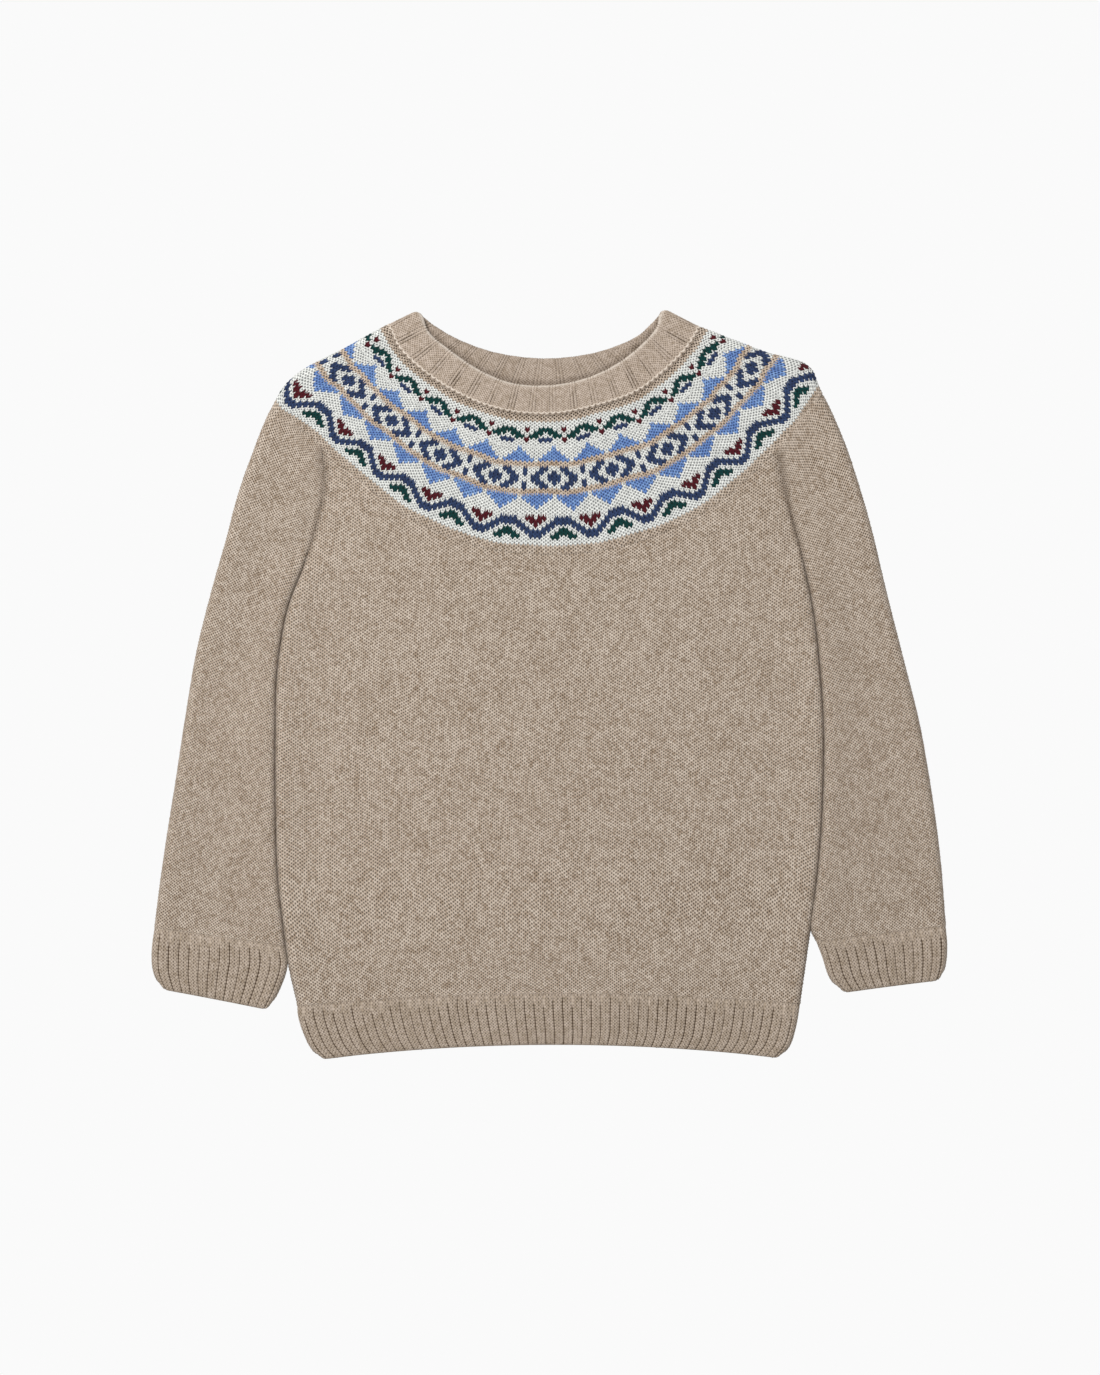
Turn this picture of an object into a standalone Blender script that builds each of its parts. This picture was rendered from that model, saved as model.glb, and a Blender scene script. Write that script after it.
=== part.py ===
"""Fair isle jumper for a small child, laid flat on its back with the front up.

The neck points to +Y, the hem to -Y, and +X is on the right of someone who looks down on
the front. Z = 0 is the surface that the back lies on. The tables are in millimetres and the
meshes in metres. Each piece is a wall of cloth between an outer and an inner grid of points,
closed with a rim. Rows of a grid run across the piece, and follow each other towards the neck.
"""

import math

import bpy
import numpy as np

MM = 0.001

# Cloth and seams
CLOTH = 2.0  # stocking stitch in a soft wool yarn
BAND = 3.2  # neckband, folded double
SEAM = 0.3  # gap between two pieces along a seam
SIDE_GAP = 0.5  # gap between a sleeve and the body beside it
BAND_GAP = 0.5  # gap between the neckband and the yoke, whose rolls differ

# Heights of the middle of the cloth above the surface
BACK_Z = CLOTH / 2
FRONT_Z = 4.4
SLEEVE_Z = 4.9
FOLD_Z = 3.6  # where the garment turns from front to back
FOLD_TOP_Z = 6.2  # the roll of cloth beside a fold
SEAM_DIP = 0.6  # how far the armhole seam lies below the front
YOKE_RISE = 0.8  # how much higher the yoke lies at the neck than at its outer edge
BAND_BACK_Z = BAND / 2
BAND_FRONT_Z = 5.6

# Fold sections: the radius of the roll, and the soft shoulder beside it
ROLL = 4.0
BAND_ROLL = 2.2
SHOULDER_AT = 14.0
SHOULDER_WIDTH = 12.0
ANGLES = (0, 45, 90)  # 0 is the outline, 90 the top of the roll
BODY_COLUMNS = 25
SLEEVE_COLUMNS = 6

# The side fold opens into the armhole seam between these heights
UNDERARM_LOW = 72.0
UNDERARM_HIGH = 96.0

# Side of the body from the hem rib up to the armhole
BODY_SIDES = (
    # left x, left y, right x, right y
    (-151.8, -190.5, 150.3, -189.3),
    (-156.8, -168.3, 153.4, -167.7),
    (-158.7, -155.1, 156.4, -146.0),
    (-163.5, -113.1, 159.9, -117.9),
    (-164.8, -72.3, 162.9, -84.3),
    (-164.8, -25.5, 164.4, -35.7),
    (-163.8, 8.1, 162.9, 0.3),
    (-157.6, 45.9, 158.4, 42.9),
    (-147.2, 74.1, 151.8, 75.3),
    (-139.8, 99.3, 144.0, 104.7),
    (-135.6, 120.9, 139.4, 124.5),
)
SLEEVE_JOINS = 3  # the row of BODY_SIDES from which on the sleeve lies against the body

# Outer fold of each sleeve, a row for each row of BODY_SIDES that the sleeve lies against
SLEEVE_FOLDS = (
    # left x, left y, right x, right y
    (-231.6, -101.7, 234.6, -107.7),
    (-225.1, -60.6, 230.6, -75.3),
    (-217.8, -12.9, 222.0, -24.3),
    (-212.0, 20.7, 213.0, 12.3),
    (-202.6, 58.5, 201.6, 57.3),
    (-194.4, 87.3, 193.2, 92.7),
    (-187.8, 112.5, 184.8, 122.1),
    (-180.0, 135.3, 175.2, 149.7),
)

# Outer fold of the right sleeve at the row of BODY_SIDES where it leaves the body, below the others
SLEEVE_LEAVES = (236.8, -136.0)

# Cuffs, a row for each section from the edge to the sleeve
CUFF_LEFT = (
    # inner x, inner y, outer x, outer y
    (-168.4, -194.7, -233.4, -182.1),
    (-161.2, -180.6, -238.2, -171.9),
    (-157.5, -168.0, -239.2, -160.5),
    (-159.2, -155.4, -237.2, -144.0),
)
CUFF_RIGHT = (
    # inner x, inner y, outer x, outer y
    (174.6, -184.5, 234.6, -176.7),
    (167.4, -175.0, 237.6, -167.7),
    (163.4, -163.0, 238.5, -156.7),
    (159.2, -152.4, 237.4, -142.8),
)

# Hem rib, a row for each section from the edge to the body. Arch is how much its middle lies above its ends.
HEM_ROWS = (
    # left x, left y, right x, right y, arch
    (-137.5, -224.4, 138.0, -223.6, 8.3),
    (-143.8, -217.5, 144.0, -216.5, 8.2),
    (-148.4, -208.0, 147.3, -207.0, 7.6),
    (-151.4, -198.0, 149.2, -197.5, 7.0),
    (-151.8, -190.8, 150.3, -189.6, 6.7),
)
BODY_ARCH = 6.7  # arch of the seam between the body and the hem rib
LEVEL_Y = -60.0  # rows of the body are level here, arched below and dipped to follow the yoke above

# Yoke and neckband, a row for each knitted column round the front from left to right
YOKE_FRONT = (
    # neck x, neck y, outer edge x, outer edge y, free edge of the neckband x, y
    (-90.8, 203.1, -146.8, 151.4, -72.5, 212.0),
    (-73.5, 186.6, -121.4, 128.6, -60.5, 201.7),
    (-49.0, 172.2, -85.5, 101.0, -40.7, 188.5),
    (-25.3, 164.7, -41.9, 82.9, -21.8, 181.3),
    (1.9, 163.0, 3.4, 78.3, 1.6, 180.3),
    (28.4, 168.1, 49.2, 84.8, 23.9, 185.2),
    (52.6, 176.7, 95.8, 105.5, 42.5, 194.6),
    (73.6, 193.3, 129.7, 134.6, 58.2, 207.8),
    (83.4, 204.2, 149.3, 154.2, 64.0, 215.4),
)
# The same round the back, from right to left
YOKE_BACK = (
    # neck x, neck y, outer edge x, outer edge y, free edge of the neckband x, y
    (84.0, 206.8, 148.2, 159.3, 61.0, 217.5),
    (70.5, 196.5, 123.4, 140.3, 52.0, 209.6),
    (48.5, 186.0, 87.3, 118.0, 33.0, 201.6),
    (25.0, 180.4, 44.6, 101.8, 16.5, 198.0),
    (0.0, 178.8, 0.0, 96.7, -0.8, 196.5),
    (-25.5, 180.0, -44.6, 101.8, -19.0, 197.6),
    (-49.0, 185.0, -86.8, 118.9, -37.5, 201.3),
    (-74.0, 196.2, -121.4, 141.5, -56.0, 208.4),
    (-90.0, 207.4, -144.7, 158.7, -68.5, 215.6),
)
# Fold over each shoulder, by the share of the way from the neck to the outer edge
FOLD_LEFT = (
    # share, x, y
    (0.0, -97.8, 216.3),
    (0.327, -123.0, 202.5),
    (0.675, -150.0, 188.1),
    (0.834, -160.2, 178.5),
    (1.0, -167.3, 165.8),
)
FOLD_RIGHT = (
    # share, x, y
    (0.0, 90.0, 215.1),
    (0.446, 126.5, 201.0),
    (0.821, 157.2, 189.3),
    (0.932, 160.8, 180.3),
    (1.0, 163.4, 174.9),
)
NECK_TIP_LEFT = (-79.2, 225.4)
NECK_TIP_RIGHT = (67.8, 226.6)
# Where the armhole seams meet the yoke, counted in rows of YOKE_FRONT and YOKE_BACK
FRONT_CORNERS = (0.38, 7.32)
BACK_CORNERS = (0.49, 7.67)

YOKE_SHARES = (1.0, 0.85, 0.57, 0.28, 0.0)
BAND_SHARES = (0.0, 0.5, 1.0)
YOKE_STEPS = 4
SEAM_STEPS = 12

COLOURS = {
    "oatmeal_wool": (0.44, 0.36, 0.28),
    "rib_wool": (0.40, 0.32, 0.25),
    "patterned_wool": (0.62, 0.60, 0.56),
}
ROUGHNESS = 0.9


def smooth(points, steps):
    """A centripetal Catmull-Rom curve, with this many steps between each two points."""
    p = np.array(points, float)
    gaps = np.linalg.norm(np.diff(p[:, :2], axis=0), axis=1) ** 0.5
    slope = np.diff(p, axis=0) / gaps[:, None]
    tangent = np.vstack([slope[:1], slope])
    for i in range(1, len(p) - 1):
        whole = (p[i + 1] - p[i - 1]) / (gaps[i - 1] + gaps[i])
        tangent[i] = slope[i - 1] - whole + slope[i]
    curve = []
    for i, gap in enumerate(gaps):
        for s in np.arange(steps) / steps:
            point = (2 * s**3 - 3 * s**2 + 1) * p[i] + (3 * s**2 - 2 * s**3) * p[i + 1]
            point = point + (s**3 - 2 * s**2 + s) * gap * tangent[i]
            curve.append(point + (s**3 - s**2) * gap * tangent[i + 1])
    return np.array(curve + [p[-1]])


def runs(path):
    """The distance along a path, seen from above, of each of its points."""
    return np.concatenate([[0], np.cumsum(np.linalg.norm(np.diff(path[:, :2], axis=0), axis=1))])


def along(path, distance):
    """The point at this distance along a path."""
    return np.array([np.interp(distance, runs(path), path[:, k]) for k in range(path.shape[1])])


def eased(value, low, high):
    """0 below low, 1 above high, with a soft change between them."""
    s = min(max((value - low) / (high - low), 0.0), 1.0)
    return s * s * (3 - 2 * s)


def squared(value, low, high):
    return min(max((value - low) / (high - low), 0.0), 1.0) ** 2


def roll(angle, half, radius, inner, fold=1.0):
    """How far inside the outline a point of a roll lies. The inner face is tucked in where the edge is a fold."""
    tuck = 2 * half * fold if inner else 0.0
    return tuck + (radius + half - tuck) * (1 - math.cos(math.radians(angle)))


def upper_z(inset, angle, fold, flat, gap, half):
    """Height of a face of an upper layer: a roll at a fold, a shallow dip at a seam."""
    turn = math.sin(math.radians(angle))
    rolled = FOLD_Z + gap + (FOLD_TOP_Z + half - FOLD_Z - gap) * turn
    if angle == 90:
        past = max(inset - ROLL - CLOTH / 2 - SIDE_GAP / 2, 0.0)
        rolled = flat + half + (FOLD_TOP_Z - flat) * math.exp(-((past / SHOULDER_WIDTH) ** 2))
    sewn = flat + half - SEAM_DIP * math.exp(-inset / ROLL)
    return fold * rolled + (1 - fold) * sewn


def lower_z(angle, fold, gap, half):
    """Height of a face of a lower layer, flat on the surface up to the fold."""
    edge = FOLD_Z - gap
    rolled = edge - (edge - BACK_Z + half) * math.sin(math.radians(angle))
    return fold * rolled + (1 - fold) * (BACK_Z - half)


def layer_row(path, ends, middle, flat, inner):
    """A row of one layer along a path. An end is its fold (1) or seam (0), gap to its neighbour and
    half the seam between the layers. Flat is None for the lower layer. A path with heights keeps them."""
    width = runs(path)[-1]
    half = -CLOTH / 2 if inner else CLOTH / 2
    places = []
    for fold, side_gap, seam_gap in ends:
        start = side_gap - (roll(0, CLOTH / 2, ROLL, inner, fold) if path.shape[1] == 3 else 0)
        insets = [start + roll(angle, CLOTH / 2, ROLL, inner, fold) for angle in ANGLES]
        places.append([(inset, angle, fold, seam_gap) for inset, angle in zip(insets, ANGLES)])
    across = [(p[0], *p) for p in places[0]]
    for k in range(middle + 2):
        place = SHOULDER_AT + (width - 2 * SHOULDER_AT) * k / (middle + 1)
        fold, _, seam_gap = ends[0] if place < width / 2 else ends[1]
        across.append((place, min(place, width - place), 90, fold, seam_gap))
    across += [(width - p[0], *p) for p in reversed(places[1])]
    row = []
    for place, inset, angle, fold, seam_gap in across:
        point = along(path, place)
        if len(point) == 3:
            row.append(tuple(point))
        elif flat is None:
            row.append((*point, lower_z(angle, fold, seam_gap, half)))
        else:
            row.append((*point, upper_z(inset, angle, fold, flat, seam_gap, half)))
    return row


def fold_point(table, share, beyond):
    """A point of a shoulder fold or past its end, and the direction from it into the garment."""
    rows = np.array(table)
    at = np.array([np.interp(share, rows[:, 0], rows[:, k]) for k in (1, 2)])
    last = rows[-1, 1:] - rows[-2, 1:]
    run = rows[-1, 1:] - rows[0, 1:]
    inward = np.array([run[1], -run[0]]) / np.linalg.norm(run)
    return at + beyond * last / np.linalg.norm(last), inward if inward[1] < 0 else -inward


def ring(stations, folds, radius, half, heights, inner, steps):
    """One closed row: the front from left to right, over the right fold, the back, over the left fold."""
    front_z, back_z, top_z = heights
    face = -half if inner else half
    middle, rise = (top_z + back_z) / 2, (top_z - back_z) / 2
    over = []
    for (at, inward), angles in zip(folds, ((-90, -45, 0, 45, 90), (90, 45, 0, -45, -90))):
        points = []
        for angle in angles:
            x, y = at + inward * roll(angle, half, radius, inner)
            points.append((x, y, middle + (rise + face) * math.sin(math.radians(angle))))
        over.append(points)
    left, right = over
    front = [left[-1]] + [(x, y, front_z + face) for x, y in stations[0]] + [right[0]]
    back = [right[-1]] + [(x, y, back_z - face) for x, y in stations[1]] + [left[0]]
    return [*smooth(front, steps), *right[1:-1], *smooth(back, steps), *left[1:-1]]


def yoke_row(share, inner, beyond=0.0, steps=YOKE_STEPS):
    """A row of the yoke, or a line this far beyond its outer edge."""
    stations = []
    for table in (YOKE_FRONT, YOKE_BACK):
        rows = np.array(table)
        neck, edge = rows[:, 0:2], rows[:, 2:4]
        out = (edge - neck) / np.linalg.norm(edge - neck, axis=1)[:, None]
        stations.append(neck + (edge - neck) * share + out * beyond)
    folds = [fold_point(table, share, beyond) for table in (FOLD_LEFT, FOLD_RIGHT)]
    heights = (FRONT_Z + YOKE_RISE * (1 - share), BACK_Z, FOLD_TOP_Z)
    return ring(stations, folds, ROLL, CLOTH / 2, heights, inner, steps)


def band_row(share, inner):
    """A row of the neckband, from its seam (0) to its free edge (1)."""
    stations = []
    for table in (YOKE_FRONT, YOKE_BACK):
        rows = np.array(table)
        neck, free = rows[:, 0:2], rows[:, 4:6]
        start = neck + BAND_GAP * (free - neck) / np.linalg.norm(free - neck, axis=1)[:, None]
        stations.append(start + (free - start) * share)
    folds = []
    for table, tip in ((FOLD_LEFT, NECK_TIP_LEFT), (FOLD_RIGHT, NECK_TIP_RIGHT)):
        at, inward = fold_point(table, 0.0, 0.0)
        start = at + BAND_GAP * (tip - at) / np.linalg.norm(tip - at)
        folds.append((start + (tip - start) * share, inward))
    heights = (BAND_FRONT_Z, BAND_BACK_Z, BAND_FRONT_Z)
    return ring(stations, folds, BAND_ROLL, BAND / 2, heights, inner, YOKE_STEPS)


def seam_lines(inner):
    """Where the front, right sleeve, back and left sleeve meet the yoke, each running on round the ring."""
    line = yoke_row(1.0, inner, SEAM, SEAM_STEPS)
    half = (len(YOKE_FRONT) + 1) * SEAM_STEPS + 1 + 3
    first, second = (round((1 + c) * SEAM_STEPS) for c in FRONT_CORNERS)
    third, fourth = (half + round((1 + c) * SEAM_STEPS) for c in BACK_CORNERS)
    line = np.array(line + line)
    whole = len(line) // 2
    return (
        line[first : second + 1],
        line[second : third + 1],
        line[third : fourth + 1],
        line[fourth : whole + first + 1],
    )


def body(upper, inner):
    """Front or back, from the hem rib to the yoke."""
    lines = seam_lines(inner)
    corners = lines[0][0], lines[0][-1]
    edge = lines[0] if upper else lines[2][::-1]
    flat = FRONT_Z if upper else None
    sides = [*BODY_SIDES, (*corners[0][:2], *corners[1][:2])]
    sag = edge[:, :2] - edge[0, :2] - np.outer(runs(edge) / runs(edge)[-1], (edge[-1] - edge[0])[:2])
    share = (runs(edge) / runs(edge)[-1])[:, None]
    grid = []
    for row in sides[:-1]:
        left, right = np.array(row[:2]), np.array(row[2:])
        height = (left[1] + right[1]) / 2
        arch = BODY_ARCH * squared(-height, -LEVEL_Y, -BODY_SIDES[0][1])
        path = left + (right - left) * share + sag * squared(height, LEVEL_Y, corners[0][1])
        path[:, 1] += arch * (1 - (2 * share[:, 0] - 1) ** 2)
        fold = 1 - eased(height, UNDERARM_LOW, UNDERARM_HIGH)
        end = (fold, SIDE_GAP / 2, SEAM / 2)
        grid.append(layer_row(path, (end, end), BODY_COLUMNS, flat, inner))
    end = (0.0, SIDE_GAP / 2, 0.0)
    grid.append(layer_row(edge, (end, end), BODY_COLUMNS, flat, inner))
    return grid if upper else [row[::-1] for row in grid]


def tube_row(upper_path, lower_path, fold, left, inner):
    """A row of a sleeve or cuff: over the top from the body outwards, round the outer fold and back."""
    ends = (fold, SIDE_GAP / 2, SEAM / 2), (1.0, 0.0, 0.0)
    upper = layer_row(upper_path, ends, SLEEVE_COLUMNS, SLEEVE_Z, inner)
    lower = layer_row(lower_path, ends, SLEEVE_COLUMNS, None, inner)
    row = upper + lower[::-1][1:]
    return row[::-1] if left else row


def sleeve(left, inner):
    """A sleeve from its cuff to the yoke."""
    cuff_row = (CUFF_LEFT if left else CUFF_RIGHT)[-1]
    sides = [(cuff_row[0], cuff_row[1] + SEAM, cuff_row[2], cuff_row[3] + SEAM)]
    first = 0 if left else 2
    if not left:
        sides.append((*BODY_SIDES[SLEEVE_JOINS - 1][2:], *SLEEVE_LEAVES))
    for body_row, fold_row in zip(BODY_SIDES[SLEEVE_JOINS:], SLEEVE_FOLDS):
        sides.append((*body_row[first : first + 2], *fold_row[first : first + 2]))
    grid = []
    for row in sides:
        path = np.array([row[:2], row[2:]])
        fold = 1 - eased(row[1], UNDERARM_LOW, UNDERARM_HIGH)
        grid.append(tube_row(path, path, fold, left, inner))
    line = seam_lines(inner)[3][::-1] if left else seam_lines(inner)[1]
    fold_at = int(np.argmin(line[:, 0])) if left else int(np.argmax(line[:, 0]))
    grid.append(tube_row(line[: fold_at + 1], line[fold_at:][::-1], 0.0, left, inner))
    return grid


def cuff(left, inner):
    grid = []
    for row in CUFF_LEFT if left else CUFF_RIGHT:
        path = np.array([row[:2], row[2:]])
        grid.append(tube_row(path, path, 1.0, left, inner))
    return grid


def hem_rib(upper, inner):
    """The rib below the front or the back."""
    grid = []
    for left_x, left_y, right_x, right_y, arch in HEM_ROWS:
        share = np.linspace(0, 1, 31)
        path = np.outer(1 - share, (left_x, left_y)) + np.outer(share, (right_x, right_y))
        path[:, 1] += arch * (1 - (2 * share - 1) ** 2)
        end = (1.0, SIDE_GAP / 2, SEAM / 2)
        row = layer_row(path, (end, end), BODY_COLUMNS, FRONT_Z if upper else None, inner)
        grid.append(row if upper else row[::-1])
    return grid


def material(name):
    made = bpy.data.materials.new(name)
    made.use_nodes = True
    made.diffuse_color = (*COLOURS[name], 1)
    principled = made.node_tree.nodes["Principled BSDF"]
    principled.inputs["Base Color"].default_value = (*COLOURS[name], 1)
    principled.inputs["Roughness"].default_value = ROUGHNESS
    return made


def wall(name, outer, inner, wool, closed=False):
    """A closed wall of cloth between two grids, which run all the way round where they are closed."""
    rows, columns = len(outer), len(outer[0])
    points = np.concatenate([np.array(outer), np.array(inner)]).reshape(-1, 3) * MM
    spans = columns if closed else columns - 1
    last = rows - 1

    def at(i, j, side):
        return (side * rows + i) * columns + j % columns

    faces = []
    for i in range(last):
        for j in range(spans):
            faces.append((at(i, j, 0), at(i, j + 1, 0), at(i + 1, j + 1, 0), at(i + 1, j, 0)))
            faces.append((at(i, j, 1), at(i + 1, j, 1), at(i + 1, j + 1, 1), at(i, j + 1, 1)))
    for j in range(spans):
        faces.append((at(0, j + 1, 0), at(0, j, 0), at(0, j, 1), at(0, j + 1, 1)))
        faces.append((at(last, j, 0), at(last, j + 1, 0), at(last, j + 1, 1), at(last, j, 1)))
    if not closed:
        for i in range(last):
            faces.append((at(i, 0, 0), at(i + 1, 0, 0), at(i + 1, 0, 1), at(i, 0, 1)))
            faces.append((at(i + 1, spans, 0), at(i, spans, 0), at(i, spans, 1), at(i + 1, spans, 1)))
    mesh = bpy.data.meshes.new(name)
    mesh.from_pydata([tuple(p) for p in points], [], faces)
    mesh.update()
    mesh.shade_smooth()
    mesh.set_sharp_from_angle(angle=math.radians(50))
    mesh.materials.append(material(wool))
    bpy.context.scene.collection.objects.link(bpy.data.objects.new(name, mesh))


for startup in list(bpy.data.objects):
    bpy.data.objects.remove(startup)

FACES = (False, True)
for side, upper in (("front", True), ("back", False)):
    wall(side, *(body(upper, inner) for inner in FACES), "oatmeal_wool")
    wall(f"hem_rib_{side}", *(hem_rib(upper, inner) for inner in FACES), "rib_wool")
for side, left in (("left", True), ("right", False)):
    wall(f"sleeve_{side}", *(sleeve(left, inner) for inner in FACES), "oatmeal_wool")
    wall(f"cuff_{side}", *(cuff(left, inner) for inner in FACES), "rib_wool")
yoke_faces = ([yoke_row(share, inner) for share in YOKE_SHARES] for inner in FACES)
wall("yoke", *yoke_faces, "patterned_wool", closed=True)
band_faces = ([band_row(share, inner) for share in BAND_SHARES] for inner in FACES)
wall("neckband", *band_faces, "rib_wool", closed=True)
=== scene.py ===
"""Looks of the fair isle jumper, laid flat. Each half stitch is a pillow of yarn, also on the back.

Tables are in millimetres in the frame of the CAD: x to the right, y to the neck, z up. A place on a
cloth is (u, v): u across it in stitches, ribs or mm, and v along it in rows.
"""

import math

import bpy
import numpy as np
from numpy.linalg import norm
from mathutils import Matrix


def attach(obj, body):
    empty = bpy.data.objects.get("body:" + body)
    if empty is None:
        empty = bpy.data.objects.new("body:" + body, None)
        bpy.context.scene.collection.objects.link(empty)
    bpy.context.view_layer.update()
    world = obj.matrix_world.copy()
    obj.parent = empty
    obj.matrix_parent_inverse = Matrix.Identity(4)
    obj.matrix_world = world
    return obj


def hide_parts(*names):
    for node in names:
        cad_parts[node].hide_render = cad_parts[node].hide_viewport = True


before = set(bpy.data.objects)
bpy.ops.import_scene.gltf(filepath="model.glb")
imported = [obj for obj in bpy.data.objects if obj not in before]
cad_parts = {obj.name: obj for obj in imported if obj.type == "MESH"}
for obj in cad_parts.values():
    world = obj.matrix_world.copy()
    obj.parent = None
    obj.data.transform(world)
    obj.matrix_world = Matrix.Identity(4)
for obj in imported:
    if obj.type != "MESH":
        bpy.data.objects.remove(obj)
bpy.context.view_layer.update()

MM = 0.001
RNG = np.random.default_rng(11)

# -------- sizes

# Heights above the surface, and sections of the cloth
FLAT_TOP, SLEEVE_TOP, ROLL_TOP = 5.4, 5.9, 7.2  # outer face of the front, a sleeve, and beside a fold
FOLD_Z = 3.6  # where the cloth turns from front to back
GROUND = 1.1  # grooves of the lower layers, whose yarn rests on the surface
NECK_RISE = 0.8  # how much higher the yoke lies at the neckband than at its seam
ROLL, ROLL_ARC = 5.0, 6.8  # how far a fold's roll reaches in from the outline, and its cloth
EDGE, EDGE_ARC = 0.2, 0.25  # the same where there is no fold
SHOULDER = 12.0  # reach of the slope beside a roll
WALL = 1.6  # cloth without its yarn relief
TURNS = np.radians((15, 30, 45, 60, 75))  # where a ring's roll has points, before and after its middle
RING_STEPS, SIDE_STEPS, SLEEVE_STEPS, FOLD_STEPS, RIB_STEPS = 16, 24, 12, 12, (8, 6)  # of curves

# Stitches
WALE, BODY_COURSE = 2.6, 1.85  # width of a stitch on the body, and its usual height
BODY_WALES = 71  # stitches to each side of the middle of the body, round its folds
BODY_TOP = 156.0  # how high the rows of the body are counted
SLEEVE_WALE, SLEEVE_COURSE = 2.1, 1.8
SLEEVE_WALES = 41  # stitches to each side of a sleeve's outer fold
BODY_SLANT, YOKE_SLANT = 0.5, 0.85  # how far the point of a V lies below its arms, in rows
RISE, YOKE_RISE, RIB_RISE = 0.42, 0.55, 0.28  # of the yarn above the grooves between stitches
WOBBLE, UNEVEN = 0.05, 0.16  # how far stitches stray, in stitches, and how much their rise varies
CROWD = 0.2  # how far a dark yarn pushes into its light neighbour, in stitches
SMALL_CELL, SMALL_FACE = 0.3, 0.02  # twice the area of stitches and triangles too small to keep

# Seams
TUCK = 3.4  # how far a piece reaches under the yoke
TUCK_IN = 1.2  # how far the fold of a sleeve turns in there
RIB_TUCK = 1.6  # how far a rib reaches under the piece above
OVER_CUFF = 1.2  # how far the last stitches of a sleeve lie over its cuff
LEFT_START = (0.3, 0.2)  # from the left cuff's inner corner to that of its sleeve
SEAM_DROP, SEAM_LIFT = 0.1, 1.0  # of a raw edge below the upper cloth, and above the lower one
# How far the upper and the lower layer sink at a seam or a lower edge
BODY_SINK, SLEEVE_SINK, RIB_SINK = (-1.1, 0.8), (-1.3, 0.8), (-0.9, 0.6)
# Between sleeve and body: the gap below the underarm, and how far each reaches over above it
SIDE_GAP, SIDE_LAP = 0.05, 0.12
UNDERARM_LOW, UNDERARM_HIGH = 62.0, 88.0
# The soft trough between them above the underarm: its bottom, its reach, and where it runs out, by y
TROUGH_Z, TROUGH_WIDE, TROUGH_END = 4.3, 8.0, (112, 142)
# Shade in the trough: depth, width, how much wider it gets, and where it widens and fades, by y
SOFT_DARK, SOFT_WIDE, SOFT_WIDER, SOFT_SPREADS, SOFT_FADES = 0.44, 2.4, 1.6, (100, 140), (134, 150)
# Its dark core, at the left and at the right, and the dark line below the underarm
CORE_DARK, CORE_WIDE, CORE_FADES = (0.1, 0.24), 0.9, (104, 122)
LINE_DARK, LINE_WIDE = 0.3, 1.8
# Arch of the body's rows towards the hem: below which y, over what height, its rise, and more at the right
ARCH_FROM, ARCH_OVER, ARCH, ARCH_LEAN = -60.0, 130.0, 6.7, 1.2
BODY_DROP = 0.4  # how far the rows of the body lie below their y

# Ribs
HEM_RIBS, HEM_COURSES, RIB_WIDE = 53, 18, 5.8  # ribs across, courses, and the width of a rib
CUFF_RIBS, CUFF_COURSE = 14, 2.0
RIB_GROOVE = 0.85  # from a groove's bottom to the flat of its rib
# Ranges of a groove's shade and of where it starts, in rows below the top, and over how many rows
GROOVE_DARK, GROOVE_STARTS, GROOVE_GROWS = (1.2, 2.0), (0.4, 3.6), 1.5
HEM_CORNER, CUFF_CORNER = (3.2, 2.8), (3.8, 3.2)  # radius of a lower corner, and rows it runs out in

# Neckband
BAND_GROUPS, BAND_WIDE = 33, 10.9  # groups of fine ribs round the neckband, and their pitch
GROOVE_STEP, GROOVE_SIDE = 1.6, 0.4  # between the grooves of a group, and beside its outer ones
BAND_GROOVE, BAND_RIDGE = (0.3, 0.3, 0.95), (-0.1, 0.3, -0.03)  # depth, rise and cut: a groove's painted shade, and a ridge's painted highlight
BAND_LIP, BAND_TURNS = 1.7 / 18, np.radians((30, 60, 90, 120, 150))  # round of its free edge, as a share
BAND_STEPS, FREE_EDGE, INSIDE = 12, 12.5, (13, 16)  # rows of a face, that of the edge, start of the inside
TIP_RADIUS, TIP_ROUND, INNER_TURN = 3.0, 0.17, 3.2  # its free edge at the folds: mm, a share, mm inside
# Roll at the folds, and heights at front, back and folds, of its outer and inner face
BAND_OUTER, BAND_INNER = (3.8, (7.0, GROUND, 7.0)), (0.6, (4.0, 3.2, 4.0))
# Loops along its foot: the shares that they lie between, their width, and their shape in rows
FOOT_SHARES, LOOP_WIDE, LOOP_SHAPE = (-0.06, -0.01, 0.04, 0.09, 0.14), 2.9, (1.25, 0.35, 0.0, 0.35)
FOOT_LOOPS = (
    # rows up, depth, painted shade at the cusps, painted shade between them, how much lighter the crests are
    # painted as a highlight (darker where negative)
    (0.0, 0.1, 0.9, 0.35, -0.5),
    (1.0, -0.15, 0.25, -0.25, 0.5),
)

COURSES = (
    # y, height of a row of the body there
    (-192.0, 1.98),
    (-171.0, 2.0),
    (-150.0, 2.3),
    (-123.0, 2.3),
    (-99.0, 2.0),
    (-85.0, 1.9),
    (70.0, 1.85),
    (160.0, 1.85),
)
# How the wales of the body run, by y: width against that at the middle, and how far they lean over
WALES = (
    # y, spread, shift
    (-192.0, 0.935, -4.0),
    (-160.0, 0.962, -4.6),
    (-120.0, 0.99, -4.4),
    (-60.0, 1.0, -3.0),
    (0.0, 1.0, 0.0),
    (150.0, 1.0, 10.0),
)

# Waves in the rows of the body and the sleeves, and how far from their ends they are in full
WAVES_FROM = 15.0
WAVES = (
    # height, length, turn from across, phase
    (0.5, 71.0, 0.3, 0.0),
    (0.4, 43.0, -0.5, 1.0),
    (0.3, 24.0, 0.25, 2.2),
    (0.22, 13.0, -0.2, 4.0),
)
# The same on the yoke, in its own rows
YOKE_WAVES_FROM = 5
YOKE_WAVES = (
    # height, turn at each point of a ring and at each row, phase
    (0.24, 0.31, 0.0, 0.0),
    (0.16, 0.57, 0.15, 1.0),
)

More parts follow.
